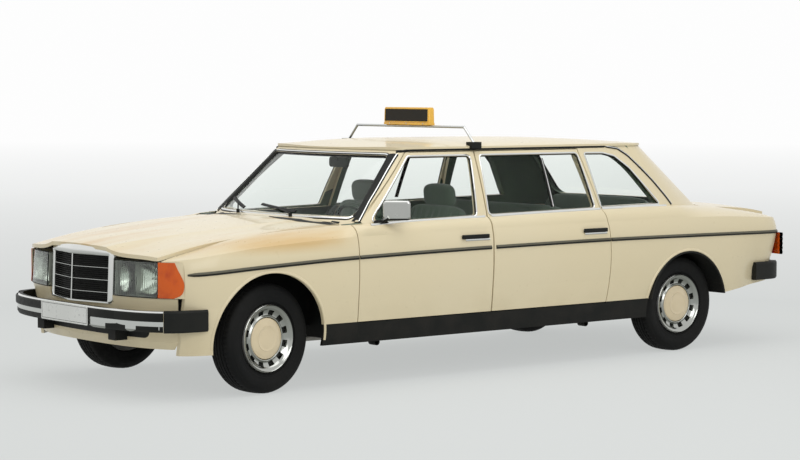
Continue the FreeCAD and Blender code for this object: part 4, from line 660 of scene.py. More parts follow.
def dress_nodes():
    for _, word in SIDES:
        dress("side_frame_" + word, [PAINT, SILL_BLACK, CABIN], side_rule)
        for end in ("front", "rear"):
            dress(end + "_door_" + word, [PAINT, CABIN, RUBBER, CHROME], door_rule)
            dress(end + "_glass_" + word, GLASS)
            dress(end + "_tyre_" + word, TYRE)
            dress(end + "_wheel_" + word, SATIN)
        dress("knuckle_" + word, RUST)
    dress("glass_house", [PAINT, HEADLINER, CABIN], house_rule)
    dress("roof", [PAINT, HEADLINER], lambda c, n: int(n.z < -0.5))
    dress("front_wings", [PAINT, SILL_BLACK], lambda c, n: int(c.z < SILL_TOP_Z and c.x < SILL_FRONT_X))
    dress("nose_panel", [PAINT, RUBBER], lambda c, n: int(c.x < 2.475 and abs(c.y) < 0.7 and c.z > 0.58))
    for name, finish in PLAIN_NODES.items():
        dress(name, finish)
    dress("floor_pan", [SILL_BLACK, CARPET], lambda c, n: int(n.z > 0.6 and c.x < 1.21))
    dress("cowl", [PAINT, SILL_BLACK], lambda c, n: int(n.z < 0))
    dress("bumpers", [CHROME, RUBBER], bumper_rule)
    dress("door_mirror", [MIRROR_SHELL, RUBBER], lambda c, n: int(c.z < 0.985))
    dress("sign_carrier", [SATIN, RUBBER], lambda c, n: int(c.z < 1.43))


dress_nodes()


# Side trims

STRIP_LINE = (
    (-2.62, 0.776), (-0.86, 0.787), (0.17, 0.781), (1.22, 0.765), (1.94, 0.738), (2.4, 0.714), (2.6, 0.706),
)
# Part, front and rear x, body and node; {} is the side
STRIP_RUNS = (
    ("wing", 2.404, 1.2070, "root", "front_wings"),
    ("front", 1.1970, 0.1665, "front_door_{}", "front_door_{}"),
    ("rear", 0.1560, -0.8610, "rear_door_{}", "rear_door_{}"),
    ("quarter", -0.8710, -2.594, "root", "side_frame_{}"),
)
STRIP_PROFILE = (
    (-0.0115, -0.002), (-0.0115, 0.0045), (-0.008, 0.0085), (-0.001, 0.0095), (0.001, 0.0095),
    (0.004, 0.0085), (0.0115, 0.003), (0.0115, -0.002),
)
# The upper faces take the lighter grey-brown: a painted highlight along the strip's top
STRIP_PATTERN = [0, 0, 0, 1, 1, 1, 1, 0]
TRIM_STEP = 0.03
STRIP_TIP = [0.45, 0.9]


def rub_strips():
    for side, word in SIDES:
        for part, x0, x1, body, node in STRIP_RUNS:
            body, node = body.format(word), node.format(word)
            count = max(int(abs(x1 - x0) / TRIM_STEP), 8)
            line = [(x, between(STRIP_LINE, x)) for x in spread(x0, x1, count + 1)]
            hits = hits_of(line, lambda x, z: from_side(x, z, side, [node]))
            run = smooth_normals(hits)
            scales = [1.0] * len(hits)
            if part == "wing":
                scales[:2] = STRIP_TIP
            trim("rub_strip_" + part + "_" + word, run, STRIP_PROFILE, lambda p: UP, [RUBBER, STRIP_GREY],
                 body, indices=segment_indices(hits, STRIP_PATTERN), scales=scales)


# Corners (x, z) of each side window's opening, and their radius
WINDOWS = {
    "front": ([(1.046, 0.962), (0.640, 1.340), (0.150, 1.340), (0.226, 0.980)], 0.022),
    "rear": ([(0.064, 1.340), (-0.772, 1.340), (-0.796, 0.995), (0.116, 0.982)], 0.022),
    "quarter": ([
        (-0.866, 0.997), (-0.848, 1.338), (-1.010, 1.336), (-1.110, 1.315), (-1.215, 1.235), (-1.402, 1.003),
    ], 0.006),
}
FRAME_PROFILE = (
    (-0.009, -0.01), (-0.009, -0.003), (-0.0045, 0.0012), (-0.004, 0.0025), (0.0005, 0.0045), (0.006, 0.003),
    (0.0075, -0.002),
)
FRAME_PATTERN = [1, 1, 1, 0, 0, 0, 0]


def outline_hits(corners, radius, grow, caster, step):
    return hits_of(resample_flat(rounded_outline(corners, radius, grow), step, True), caster)


def window_trims():
    for side, word in SIDES:
        for part, (corners, radius) in WINDOWS.items():
            node = "glass_house" if part == "quarter" else part + "_door_" + word
            body = "root" if part == "quarter" else node
            hits = outline_hits(corners, radius, 0.006, lambda x, z: from_side(x, z, side, [node]), 0.016)
            run = smooth_normals(hits, True, 3)
            indices = segment_indices(hits, FRAME_PATTERN, True)
            trim("window_trim_" + part + "_" + word, run, FRAME_PROFILE, away_from_middle(run[0]),
                 [CHROME, RUBBER], body, "bright_metal", indices, True)


BELT_RUNS = (
    ("front", [(1.085, 0.9515), (0.70, 0.961), (0.232, 0.9665), (0.158, 0.968)], "front_door_{}"),
    ("rear", [(0.136, 0.969), (-0.40, 0.9785), (-0.836, 0.984)], "rear_door_{}"),
    ("quarter", [(-0.852, 0.985), (-1.20, 0.9865), (-1.470, 0.985)], "root"),
)
BELT_PROFILE = (
    (-0.009, -0.006), (-0.009, 0.003), (-0.004, 0.0065), (0.003, 0.0065), (0.0075, 0.003), (0.0075, -0.006),
)
BELT_FACING = (0.94, 0.34)


def belt_trims():
    for side, word in SIDES:
        facing = Vector((0, BELT_FACING[0] * side, BELT_FACING[1]))
        for part, line, body in BELT_RUNS:
            names = ["side_frame_" + word, "glass_house"] if part == "quarter" else [part + "_door_" + word]
            hits = hits_of(resample_flat(line, TRIM_STEP), lambda x, z: from_side(x, z, side, names))
            trim("belt_trim_" + part + "_" + word, ([h[0] for h in hits], [facing] * len(hits)), BELT_PROFILE,
                 lambda p: UP, CHROME, body.format(word), "bright_metal")


DRIP_LINE = (
    (0.706, 1.372), (0.65, 1.38), (0.6, 1.383), (0.3, 1.384), (-0.3, 1.384), (-0.9, 1.384), (-1.06, 1.382),
    (-1.165, 1.368), (-1.24, 1.322), (-1.311, 1.253), (-1.413, 1.142), (-1.499, 1.038), (-1.53, 0.992),
)
DRIP_PROFILE = (
    (-0.0085, -0.003), (-0.0085, 0.0045), (-0.003, 0.0085), (0.0015, 0.0085), (0.0035, 0.004),
    (0.0085, 0.003), (0.0085, -0.003),
)
# Along the roof the rail is all black: rubber, with painted shadow of the gap under the roof's overhang
ROOF_PATTERN = [1] * 7
REAR_POST_PATTERN = [1, 1, 0, 0, 1, 1, 1]
REAR_POST_X = -1.06
DRIP_TOP_Z = 1.3825
DRIP_MIDDLE = Vector((-0.3, 0, 1.10))
POST_LINE = (
    (1.098, 0.752, 0.964), (1.051, 0.737, 1.016), (0.991, 0.714, 1.079), (0.924, 0.697, 1.146),
    (0.861, 0.677, 1.21), (0.8, 0.658, 1.272), (0.743, 0.641, 1.328), (0.709, 0.632, 1.36),
)
POST_PROFILE = (
    (-0.0045, -0.003), (-0.0045, 0.004), (-0.001, 0.0065), (0.0035, 0.004), (0.0035, 0.0015),
    (0.0115, 0.0015), (0.0115, -0.003),
)
POST_PATTERN = [0, 0, 0, 1, 1, 1, 0]


def drip_rails():
    """Black band along the roof's edge, the drip rail's rubber with painted shadow of the gap under the roof's
    overhang, and a bright edge down the rear post.
    """
    for side, word in SIDES:
        hits = hits_of(resample_flat(DRIP_LINE, 0.025),
                       lambda x, z: from_side(x, min(z, DRIP_TOP_Z), side, ["glass_house"]))
        run = smooth_normals(hits, False, 3)
        indices = []
        for p in run[0][1:]:
            indices += REAR_POST_PATTERN if p.x < REAR_POST_X else ROOF_PATTERN
        trim("drip_rail_" + word, run, DRIP_PROFILE, lambda p: p - DRIP_MIDDLE, [CHROME, RUBBER],
             indices=indices + [1, 1])


def on_house(place):
    """Nearest point of the window posts to a place, with its normal."""
    hit, normal, _, _ = tree("glass_house").find_nearest(Vector(place))
    return hit, normal


def post_line(side):
    return [on_house(p) for p in resample([(x, y * side, z) for x, y, z in POST_LINE], 0.025)]


def post_trims():
    """Bright line with a black foot down the front of each screen post."""
    for side, word in SIDES:
        run = smooth_normals(post_line(side), False, 3)
        trim("post_trim_" + word, run, POST_PROFILE, lambda p: Vector((0, side, 0)), [CHROME, RUBBER],
             slot="bright_metal", indices=segment_indices(run[0], POST_PATTERN))


SCREENS = {
    "windscreen": ([(-0.694, 0.990), (0.694, 0.990), (0.583, 1.350), (-0.583, 1.350)], 0.034, from_front),
    "rear_window": ([(-0.622, 1.010), (0.622, 1.010), (0.520, 1.342), (-0.520, 1.342)], 0.040, from_back),
}
SCREEN_PROFILE = (
    (-0.02, -0.014), (-0.018, -0.008), (-0.006, 0.002), (-0.003, 0.005), (0.004, 0.0055), (0.008, 0.004),
    (0.015, 0.002), (0.017, -0.003),
)
SCREEN_PATTERN = [0, 0, 0, 1, 1, 0, 0, 0]


def screen_seals():
    """Black seal with a bright line in it; down the windscreen's sides it is all black."""
    for name, (corners, radius, caster) in SCREENS.items():
        hits = outline_hits(corners, radius, 0.007, lambda y, z: caster(y, z, ["glass_house"]), 0.02)
        run = smooth_normals(hits, True, 3)
        places = run[0]
        indices = []
        for i, p in enumerate(places):
            step = places[(i + 1) % len(places)] - p
            plain = name == "windscreen" and abs(step.z) > abs(step.y) * 0.6
            indices += [0] * len(SCREEN_PATTERN) if plain else SCREEN_PATTERN
        trim(name + "_seal", run, SCREEN_PROFILE, away_from_middle(places), [RUBBER, CHROME], indices=indices,
             closed=True)


# Centre x, radius, first and last angle in degrees, and node of each wheel arch
ARCHES = {
    "front": (1.8295, 0.386, -4, 184, "front_wings"),
    "rear": (-1.5955, 0.362, 10, 171, "side_frame_{}"),
}
ARCH_Z = 0.318
ARCH_STEPS = 64
LIP_PROFILE = (
    (-0.003, -0.012), (-0.003, 0.003), (0.001, 0.0058), (0.007, 0.0052), (0.014, 0.0015), (0.017, -0.002),
)


def arch_lips():
    for side, word in SIDES:
        for end, (x, radius, start, stop, node) in ARCHES.items():
            r, points = radius + 0.004, []
            for degrees in spread(start, stop, ARCH_STEPS + 1):
                a = math.radians(degrees)
                points.append((x + r * math.cos(a), ARCH_Z + r * math.sin(a)))
            hits = hits_of(points, lambda x, z: from_side(x, z, side, [node.format(word)]))
            centre = Vector((x, side * 0.88, ARCH_Z))
            trim("arch_lip_" + end + "_" + word, smooth_normals(hits, False, 3), LIP_PROFILE,
                 lambda p: p - centre, PAINT, slot="body_paint")


rub_strips()
window_trims()
belt_trims()
drip_rails()
post_trims()
screen_seals()
arch_lips()


# Wheels and tyres

FRONT_AXLE_X, REAR_AXLE_X = 1.8295, -1.5955
FRONT_Y, REAR_Y = 0.744, 0.723
WHEEL_Z = 0.320
KINGPIN_Y = 0.690
STEER_REST = math.radians(8.0)
TYRE_RING = (
    (0.1975, 0.066), (0.209, 0.0725), (0.2125, 0.082), (0.216, 0.0835), (0.218, 0.082), (0.232, 0.0875),
    (0.235, 0.0868), (0.238, 0.0878), (0.256, 0.0915), (0.268, 0.0922), (0.282, 0.0905), (0.288, 0.0885),
    (0.29, 0.0865), (0.296, 0.085), (0.304, 0.0795), (0.31, 0.0742), (0.3145, 0.0665), (0.317, 0.06),
)
TREAD_RING = (
    (0.318, 0.052), (0.3186, 0.0405), (0.3125, 0.0395), (0.3125, 0.034), (0.319, 0.033), (0.3196, 0.016),
    (0.313, 0.015), (0.313, 0.0095), (0.3198, 0.0085),
)
BLOCKS = 64
CUT_DEPTH, CUT_SKEW = 0.0045, 0.012
TYRE_STEPS = 192
COVER_SLOTS = 12
COVER_SCALE = 0.948


def wheel_matrix(end, side):
    """Places a wheel piece, built about the Y axis with its face towards +Y, at its corner."""
    x, y = (FRONT_AXLE_X, FRONT_Y) if end == "front" else (REAR_AXLE_X, REAR_Y)
    place = Matrix.Translation((x, side * y, WHEEL_Z))
    if side < 0:
        place = place @ Matrix.Rotation(math.pi, 4, "Z")
    if end == "front":
        pin = Matrix.Translation((x, side * KINGPIN_Y, 0))
        place = pin @ Matrix.Rotation(STEER_REST, 4, "Z") @ pin.inverted() @ place
    return place


def tyre_mesh():
    """Tyre with ribs on its sidewall, four grooves round the tread and cross cuts in its blocks."""
    half = list(TYRE_RING) + list(TREAD_RING)
    ring = half + [(r, -y) for r, y in reversed(half)]
    verts = []
    for i in range(TYRE_STEPS):
        a = 2 * math.pi * i / TYRE_STEPS
        cut = i % (TYRE_STEPS // BLOCKS) == 0
        for r, y in ring:
            reach = r - (CUT_DEPTH if cut and r > 0.316 and abs(y) > 0.030 else 0.0)
            skew = CUT_SKEW * (abs(y) / 0.06) if r > 0.311 else 0.0
            q = a + skew * (1 if y > 0 else -1)
            verts.append(Vector((reach * math.cos(q), y, reach * math.sin(q))))
    return verts, ring_faces(TYRE_STEPS, len(ring), True)


RIM_RING = (
    (0.179, 0.06), (0.185, 0.068), (0.1945, 0.078), (0.1975, 0.072), (0.1965, 0.0675), (0.1965, -0.0675),
    (0.208, -0.074), (0.204, -0.0815), (0.178, -0.0735), (0.178, -0.002), (0.16, 0.007), (0.12, 0.021),
    (0.062, 0.01), (0.058, -0.0255), (0.031, -0.0255), (0.031, 0.02), (0.118, 0.035), (0.15, 0.03),
    (0.173, 0.028),
)
COVER_STEPS = 240
COVER_FACE = (
    (0.1275, 0.052), (0.1285, 0.059), (0.132, 0.0625), (0.136, 0.063), (0.14, 0.06), (0.143, 0.0565),
    (0.146, 0.055), (0.15, 0.0545), (0.154, 0.055), (0.158, 0.0562), (0.162, 0.058), (0.167, 0.0603),
    (0.171, 0.0625), (0.175, 0.0652), (0.18, 0.0692), (0.185, 0.073), (0.19, 0.0755), (0.195, 0.0772),
    (0.2, 0.0802), (0.203, 0.083), (0.206, 0.081),
)
COVER_THICK, COVER_EDGE = 0.0035, 0.0015
SLOT_RADII = (0.1475, 0.1735)
SLOT_SHARE = 0.42
SLOT_DEPTH = 0.016


def cover_ring():
    """Bright ring of the wheel cover with pressed-in windows, as a closed shell."""
    verts, indices = [], []
    last = len(COVER_FACE) - 1
    back = [(r, y - (COVER_THICK if 0 < k < last else COVER_EDGE)) for k, (r, y) in enumerate(COVER_FACE)]
    ring = list(COVER_FACE) + back[::-1]
    dips = []
    for i in range(COVER_STEPS):
        phase = (i * COVER_SLOTS / COVER_STEPS) % 1.0
        inside = abs(phase - 0.5) < SLOT_SHARE / 2
        a = 2 * math.pi * i / COVER_STEPS
        for r, y in ring:
            dip = SLOT_DEPTH if inside and SLOT_RADII[0] < r < SLOT_RADII[1] else 0.0
            dips.append(dip)
            reach = r * COVER_SCALE
            verts.append(Vector((reach * math.cos(a), y - dip, reach * math.sin(a))))
    faces = ring_faces(COVER_STEPS, len(ring), True)
    for f in faces:
        indices.append(1 if all(dips[k] > 0 for k in f) else 0)
    return verts, faces, indices


def disc_profile():
    """Painted centre disc: a shallow dome with one pressed step."""
    front = (
        (0.0, 0.0745), (0.03, 0.074), (0.058, 0.0726), (0.0725, 0.0712), (0.0745, 0.0722), (0.077, 0.0722),
        (0.0785, 0.0704), (0.1, 0.0676), (0.117, 0.0638), (0.1245, 0.0608), (0.1265, 0.057),
    )
    return [(r * COVER_SCALE, y) for r, y in list(front) + [(0.1265, 0.0480), (0.0, 0.0480)]]


def wheels():
    tyre, rim, disc = tyre_mesh(), turned(RIM_RING, 96), turned(disc_profile(), 72)
    cover = cover_ring()
    for side, word in SIDES:
        for end in ("front", "rear"):
            tail = end + "_" + word
            body = end + "_wheel_" + word
            m = wheel_matrix(end, side)
            obj = Build().take(*tyre, 0, m).done("tyre_" + tail, TYRE, body, "tyre_rubber")
            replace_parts(obj, end + "_tyre_" + word)
            obj = Build().take(*rim, 0, m).done("rim_" + tail, GREY_METAL, body, "bright_metal")
            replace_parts(obj, end + "_wheel_" + word)
            Build().take(*cover, m).done("cover_ring_" + tail, [COVER_CHROME, RUBBER], body, "bright_metal")
            Build().take(*disc, 0, m).done("cover_disc_" + tail, DISC, body, "body_paint")


wheels()


# Lamps

LAMP_Y = (0.374, 0.698)
LAMP_Z = (0.585, 0.783)
LAMP_ROWS, LAMP_COLUMNS = 15, 90
LENS_T = 0.0035
FLUTE_DEPTH = 0.0009
BOWL_RINGS, BOWL_SIZE, BOWL_T = 12, 40, 0.003
BOWL_SET_BACK = 0.018
BULB_FOOT, BULB_LONG, BULB_RADII = 0.004, 0.030, (0.010, 0.007)
HOUSING_DEEP, HOUSING_T = 0.075, 0.003
HOUSING_STRIDE = 6
HOUSING_BEHIND = 0.02
LAMP_MIDDLE_Y = 0.5065
GASKET_Y, GASKET_Z = (0.3735, 0.7005), (0.5845, 0.7838)
GASKET_PROFILE = ((-0.0022, -0.004), (-0.0022, 0.0018), (0.0022, 0.0018), (0.0022, -0.004))
# Centre y and z, half width, half height and depth of each bowl
BOWLS = ((0.435, 0.684, 0.048, 0.080, 0.060), (0.588, 0.684, 0.094, 0.084, 0.065))


def lamp_front(y, z, side):
    return from_front(y * side, z, ["headlamps"])[0].x


def lamp_place(i, k):
    """(y, z) of a point of the lamp's grid."""
    y = LAMP_Y[0] + (LAMP_Y[1] - LAMP_Y[0]) * k / (LAMP_COLUMNS - 1)
    return y, LAMP_Z[0] + (LAMP_Z[1] - LAMP_Z[0]) * i / (LAMP_ROWS - 1)


def grid_faces(rows, columns, start=0, flip=False):
    faces = []
    for i in range(rows - 1):
        for k in range(columns - 1):
            a = start + i * columns + k
            face = (a, a + 1, a + columns + 1, a + columns)
            faces.append(tuple(reversed(face)) if flip else face)
    return faces


def shell_faces(rows, columns):
    """Faces of a closed shell from two grids of the same size, one after the other."""
    size = rows * columns
    faces = grid_faces(rows, columns) + grid_faces(rows, columns, size, True)
    rim = list(range(columns)) + [i * columns + columns - 1 for i in range(1, rows)]
    rim += [(rows - 1) * columns + k for k in range(columns - 2, -1, -1)]
    rim += [i * columns for i in range(rows - 2, 0, -1)]
    for a, b in zip(rim, rim[1:] + rim[:1]):
        faces.append((a, b, b + size, a + size))
    return faces


def lamp_pane(fronts, side, word):
    """Front glass with upright flutes on its inner face."""
    verts = []
    for layer in (0.0, LENS_T):
        for (i, k), front in fronts.items():
            y, z = lamp_place(i, k)
            fluted = layer and 0 < k < LAMP_COLUMNS - 1
            flute = FLUTE_DEPTH * (1 + math.cos(k * math.pi * 0.5)) if fluted else 0.0
            verts.append(Vector((front - layer - flute, y * side, z)))
    pane = Build().take(verts, shell_faces(LAMP_ROWS, LAMP_COLUMNS))
    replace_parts(pane.done("headlamp_glass_" + word, LAMP_GLASS, "root", "lamp_glass"), "headlamps")


def lamp_bowls(side, word):
    """Reflector bowls, squared off where the lamp is the main beam, each with its bulb."""
    bowls = Build()
    size, rings = BOWL_SIZE, BOWL_RINGS
    for y0, z0, half_y, half_z, depth in BOWLS:
        rim_x = lamp_front(y0 + half_y * 0.9, z0, side) - BOWL_SET_BACK
        verts = []
        for j in range(rings + 1):
            t = j / rings
            for k in range(size):
                a = 2 * math.pi * k / size
                c, s = math.cos(a), math.sin(a)
                square = (abs(c) ** 4 + abs(s) ** 4) ** -0.25 if half_y > 0.06 else 1.0
                y, z = y0 + half_y * t * c * square, z0 + half_z * t * s * square
                verts.append(Vector((rim_x - depth * (1 - t * t), side * y, z)))
        back = [v - Vector((BOWL_T, 0, 0)) for v in verts]
        inner = ring_faces(rings + 1, size, False, False)
        total = len(verts)
        outer = [tuple(i + total for i in reversed(f)) for f in inner]
        first = rings * size
        edge = []
        for k in range(size):
            a, b = first + k, first + (k + 1) % size
            edge.append((a, b, total + b, total + a))
        bowls.take(verts + back, inner + outer + edge)
        foot = Vector((rim_x - depth + BULB_FOOT, side * y0, z0))
        bowls.take(*rod(foot, foot + Vector((BULB_LONG, 0, 0)), BULB_RADII[0], 16, BULB_RADII[1]), 1)
    bowls.done("headlamp_bowls_" + word, [REFLECTOR, SATIN], "root", "bright_metal")


def lamp_housing(fronts, side, word):
    """Open box round the bowls: back, floor, roof and three upright walls."""
    box = Build()
    x_back = min(fronts.values()) - HOUSING_BEHIND - HOUSING_DEEP
    low, high = sorted(y * side for y in LAMP_Y)
    box.take(*cuboid((x_back, low, LAMP_Z[0]), (x_back + 0.004, high, LAMP_Z[1]), 0.001))
    columns = range(0, LAMP_COLUMNS, HOUSING_STRIDE)
    n = len(columns)
    for i, lift in ((0, HOUSING_T), (LAMP_ROWS - 1, -HOUSING_T)):
        verts = []
        for dz in (0, lift):
            for k in columns:
                y, z = lamp_place(i, k)
                verts += [Vector((x, y * side, z + dz)) for x in (fronts[i, k] - LENS_T - 0.003, x_back)]
        faces = grid_faces(n, 2) + grid_faces(n, 2, 2 * n, True)
        faces += [(0, 2 * n, 2 * n + 1, 1), (2 * n - 2, 2 * n - 1, 4 * n - 1, 4 * n - 2)]
        faces += [(k, k + 2, 2 * n + k + 2, 2 * n + k) for k in range(2 * n - 2)]
        box.take(verts, faces)
    for edge in (LAMP_Y[0], LAMP_MIDDLE_Y, LAMP_Y[1] - HOUSING_T):
        front = lamp_front(min(edge + 0.002, LAMP_Y[1] - 0.001), 0.68, side) - LENS_T - 0.006
        if edge == LAMP_MIDDLE_Y:
            front -= 0.030
        low, high = sorted((edge * side, (edge + HOUSING_T) * side))
        box.take(*cuboid((x_back, low, LAMP_Z[0]), (front, high, LAMP_Z[1]), 0.0005))
    box.done("headlamp_housing_" + word, LAMP_BODY, "root", "bright_metal")


def lamp_gasket(side, word):
    (y0, y1), (z0, z1) = GASKET_Y, GASKET_Z
    places = []
    for u, v in resample_flat([(y0, z0), (y1, z0), (y1, z1), (y0, z1)], 0.02, True):
        y, z = min(max(u, 0.3725), 0.6985), min(max(v, 0.5835), 0.7845)
        places.append(Vector((lamp_front(y, z, side) - 0.002, u * side, v)))
    run = places, [Vector((1, 0.25 * side, 0))] * len(places)
    trim("headlamp_gasket_" + word, run, GASKET_PROFILE, away_from_middle(places), RUBBER, closed=True)


def headlamps():
    for side, word in SIDES:
        fronts = {}
        for i in range(LAMP_ROWS):
            for k in range(LAMP_COLUMNS):
                fronts[i, k] = lamp_front(*lamp_place(i, k), side) - 0.001
        lamp_pane(fronts, side, word)
        lamp_bowls(side, word)
        lamp_housing(fronts, side, word)
        lamp_gasket(side, word)


GRILLE_HALF = 0.3405
GRILLE_OPEN_HALF = 0.2985
GRILLE_Z = (0.528, 0.833)
GRILLE_OPEN_Z = (0.540, 0.798)
GRILLE_CREST = 0.020
GRILLE_PEAK_X, GRILLE_EDGE_X = 2.631, 2.562
GRILLE_LEAN = 0.04
GRILLE_FOLD = 0.10
SLAT_PITCH = 0.01175
SLAT_STEPS = 20
FIRST_SLAT_Z = 0.5431
BRIGHT_SLATS = (4, 10, 16)
# Depth behind the front face, half height and thickness
BRIGHT_SLAT, BLACK_SLAT = (0.007, 0.0019, 0.012), (0.013, 0.0014, 0.016)
GRILLE_SECTION = (
    (0.0, -0.085), (0.0, -0.008), (0.05, -0.003), (0.16, 0.0), (0.8, 0.0), (0.93, -0.0025), (1.0, -0.008),
    (1.0, -0.03),
)
MIDDLE_BAR = (
    (0.001, -0.002), (0.001, 0.002), (0.004, 0.0045), (0.022, 0.0045), (0.022, -0.0045), (0.004, -0.0045),
)


def grille_x(y, z):
    """Front face of the grille: two flat halves that meet in a soft fold, leaning back."""
    t = abs(y) / GRILLE_HALF
    fold = (math.hypot(t, GRILLE_FOLD) - GRILLE_FOLD) / (math.hypot(1.0, GRILLE_FOLD) - GRILLE_FOLD)
    return GRILLE_PEAK_X - (GRILLE_PEAK_X - GRILLE_EDGE_X) * fold - GRILLE_LEAN * (z - GRILLE_Z[0])


def grille_bar(build, z, depth, half_height, thick, index):
    """Bar across the opening, parallel to the front face."""
    verts = []
    for i in range(SLAT_STEPS + 1):
        y = (GRILLE_OPEN_HALF + 0.004) * (2 * i / SLAT_STEPS - 1)
        x = grille_x(y, z) - depth
        for back, rise in ((0, -0.7), (0, 0.7), (-0.25, 1), (-1, 1), (-1, -1), (-0.25, -1)):
            verts.append((x + back * thick, y, z + rise * half_height))
    build.take(verts, ring_faces(SLAT_STEPS + 1, 6), index)


def grille_outline():
    """Outer edge of the surround as (y, z), with its crest."""
    low, high = GRILLE_Z
    corners = [(GRILLE_HALF, low), (-GRILLE_HALF, low), (-GRILLE_HALF, high), (GRILLE_HALF, high)]
    points = []
    for y, z in resample_flat(rounded_outline(corners, 0.022), 0.0125, True):
        rise = max(0.0, (z - low) / (high - low)) ** 3 * (1 - (abs(y) / GRILLE_HALF) ** 2)
        points.append((y, z + GRILLE_CREST * rise))
    return points


def grille_surround():
    """(verts, faces) of the bright frame, from its outer edge in to the opening."""
    (low, high), (open_low, open_high) = GRILLE_Z, GRILLE_OPEN_Z
    middle = (low + high) / 2
    verts, outer = [], grille_outline()
    for y, z in outer:
        inner_y = max(-GRILLE_OPEN_HALF, min(GRILLE_OPEN_HALF, y * 0.93))
        inner_z = max(open_low, min(open_high, middle + (z - middle) * 0.94))
        if abs(y) < GRILLE_HALF - 0.03 or (z - low) * (high - z) < 0.0:
            inner_z = open_low if z < middle else open_high
        if low + 0.03 < z < high - 0.03:
            inner_y = math.copysign(GRILLE_OPEN_HALF, y)
        for t, depth in GRILLE_SECTION:
            py, pz = y + (inner_y - y) * t, z + (inner_z - z) * t
            verts.append((grille_x(py, pz) + depth, py, pz))
    return verts, ring_faces(len(outer), len(GRILLE_SECTION), True)


def grille():
    """Bright surround with a crest, a thin middle bar, fine black slats and three bright ones."""
    open_low, open_high = GRILLE_OPEN_Z
    body = Build().take(*grille_surround())
    count = int((open_high - FIRST_SLAT_Z) / SLAT_PITCH) + 1
    for k in range(count):
        size, index = (BRIGHT_SLAT, 0) if k in BRIGHT_SLATS else (BLACK_SLAT, 1)
        grille_bar(body, FIRST_SLAT_Z + SLAT_PITCH * k, *size, index)
    bar = []
    for z in (open_low - 0.004, open_high + 0.004):
        x = grille_x(0.0, z)
        bar += [(x - back, y, z) for back, y in MIDDLE_BAR]
    body.take(bar, ring_faces(2, len(MIDDLE_BAR)), 0)
    backing = []
    for y in (-GRILLE_OPEN_HALF - 0.012, 0.0, GRILLE_OPEN_HALF + 0.012):
        for z in (open_low - 0.008, open_high + 0.008):
            backing += [(grille_x(y, z) - depth, y, z) for depth in (0.040, 0.043)]
    faces = []
    for a in (0, 4):
        b = a + 4
        faces += [(a, a + 2, b + 2, b), (a + 1, b + 1, b + 3, a + 3), (a, b, b + 1, a + 1)]
        faces.append((a + 2, a + 3, b + 3, b + 2))
    faces += [(0, 1, 3, 2), (8, 10, 11, 9)]
    body.take(backing, faces, 1)
    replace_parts(body.done("grille_visual", [CHROME, RUBBER], "bonnet", "bright_metal"), "grille")


TAIL_LENS_LONG = 0.5275
TAIL_LENS_POWER = 14
TAIL_LENS_FRONT_X = -2.5420
TAIL_LENS_ANGLES = (0.7, 89.3)
TAIL_CENTRE_X = -2.050
TAIL_AMBER_Y, TAIL_CLEAR_Y = 0.80, 0.56
TAIL_LENS_Z = (0.616, 0.768)
TAIL_LENS_T = 0.006
TAIL_RIBS, TAIL_RIB_DEPTH = 5, 0.0035
BODY_HALF = 0.893


def tail_lamps():
    """Ribbed lenses round each rear corner: amber at the side, red, then clear in the middle."""
    rows, columns = 61, 44
    (low_z, high_z), (first, last) = TAIL_LENS_Z, TAIL_LENS_ANGLES
    for side, word in SIDES:
        verts = []
        for layer in (0.0, TAIL_LENS_T):
            for i, z in enumerate(spread(low_z, high_z, rows)):
                rib = TAIL_RIB_DEPTH * (1 - math.cos(2 * math.pi * i / (rows - 1) * TAIL_RIBS)) / 2
                inset = 0.0005 + TAIL_RIB_DEPTH - rib + layer
                for t in spread(0, 1, columns):
                    angle = math.radians(first + (last - first) * t * t * (3 - 2 * t))
                    x = TAIL_CENTRE_X - (TAIL_LENS_LONG - inset) * math.cos(angle) ** (2 / TAIL_LENS_POWER)
                    y = (BODY_HALF - inset) * math.sin(angle) ** (2 / TAIL_LENS_POWER)
                    verts.append(Vector((min(x, TAIL_LENS_FRONT_X), y * side, z)))
        faces = shell_faces(rows, columns)
        indices = []
        for f in faces:
            y = sum(abs(verts[i].y) for i in f) / len(f)
            indices.append(0 if y > TAIL_AMBER_Y else 2 if y < TAIL_CLEAR_Y else 1)
        lamp = Build().take(verts, faces, indices)
        lamp = lamp.done("tail_lens_" + word, [AMBER, RED, CLEAR_LENS], "root", "tail_lens")
        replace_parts(lamp, "tail_lamps")


headlamps()
grille()
tail_lamps()


# Bumper undersides, apron and indicators

BUMPER_HALF = 0.882
BUMPER_END_X = 2.262
BUMPER_LONG = 0.4155
# Word, way, lift, and the powers of the bar's curve seen from above
BUMPER_ENDS = (("front", 1, 0.0, (3.2, 3.0)), ("rear", -1, 0.050, (5.0, 3.0)))
SHADE_RING = ((0.3992, 0.0168), (0.414, 0.0088), (0.4330, 0.0088), (0.4330, 0.0120), (0.3992, 0.0200))
SHADE_END = 61.8


def bumper_shades():
    """Black band over the lower edge of each bumper's bright bar: painted shade where the bar turns under."""
    for word, way, lift, (along_power, wide_power) in BUMPER_ENDS:
        verts, steps = [], 60
        for i in range(steps + 1):
            angle = math.radians(SHADE_END * (2 * i / steps - 1))
            for z, inset in SHADE_RING:
                x = BUMPER_END_X + (BUMPER_LONG - inset) * math.cos(angle) ** (2 / along_power)
                y = (BUMPER_HALF - inset) * abs(math.sin(angle)) ** (2 / wide_power)
                verts.append((way * x, math.copysign(y, angle), z + lift))
        Build().take(verts, ring_faces(steps + 1, len(SHADE_RING))).done(
            "bumper_shade_" + word, RUBBER, "root", "black_rubber"
        )


RECESS_Z = (0.350, 0.421)
RECESS_HALF = 0.605
SHEET_SHIFTS = (0.0018, -0.002)


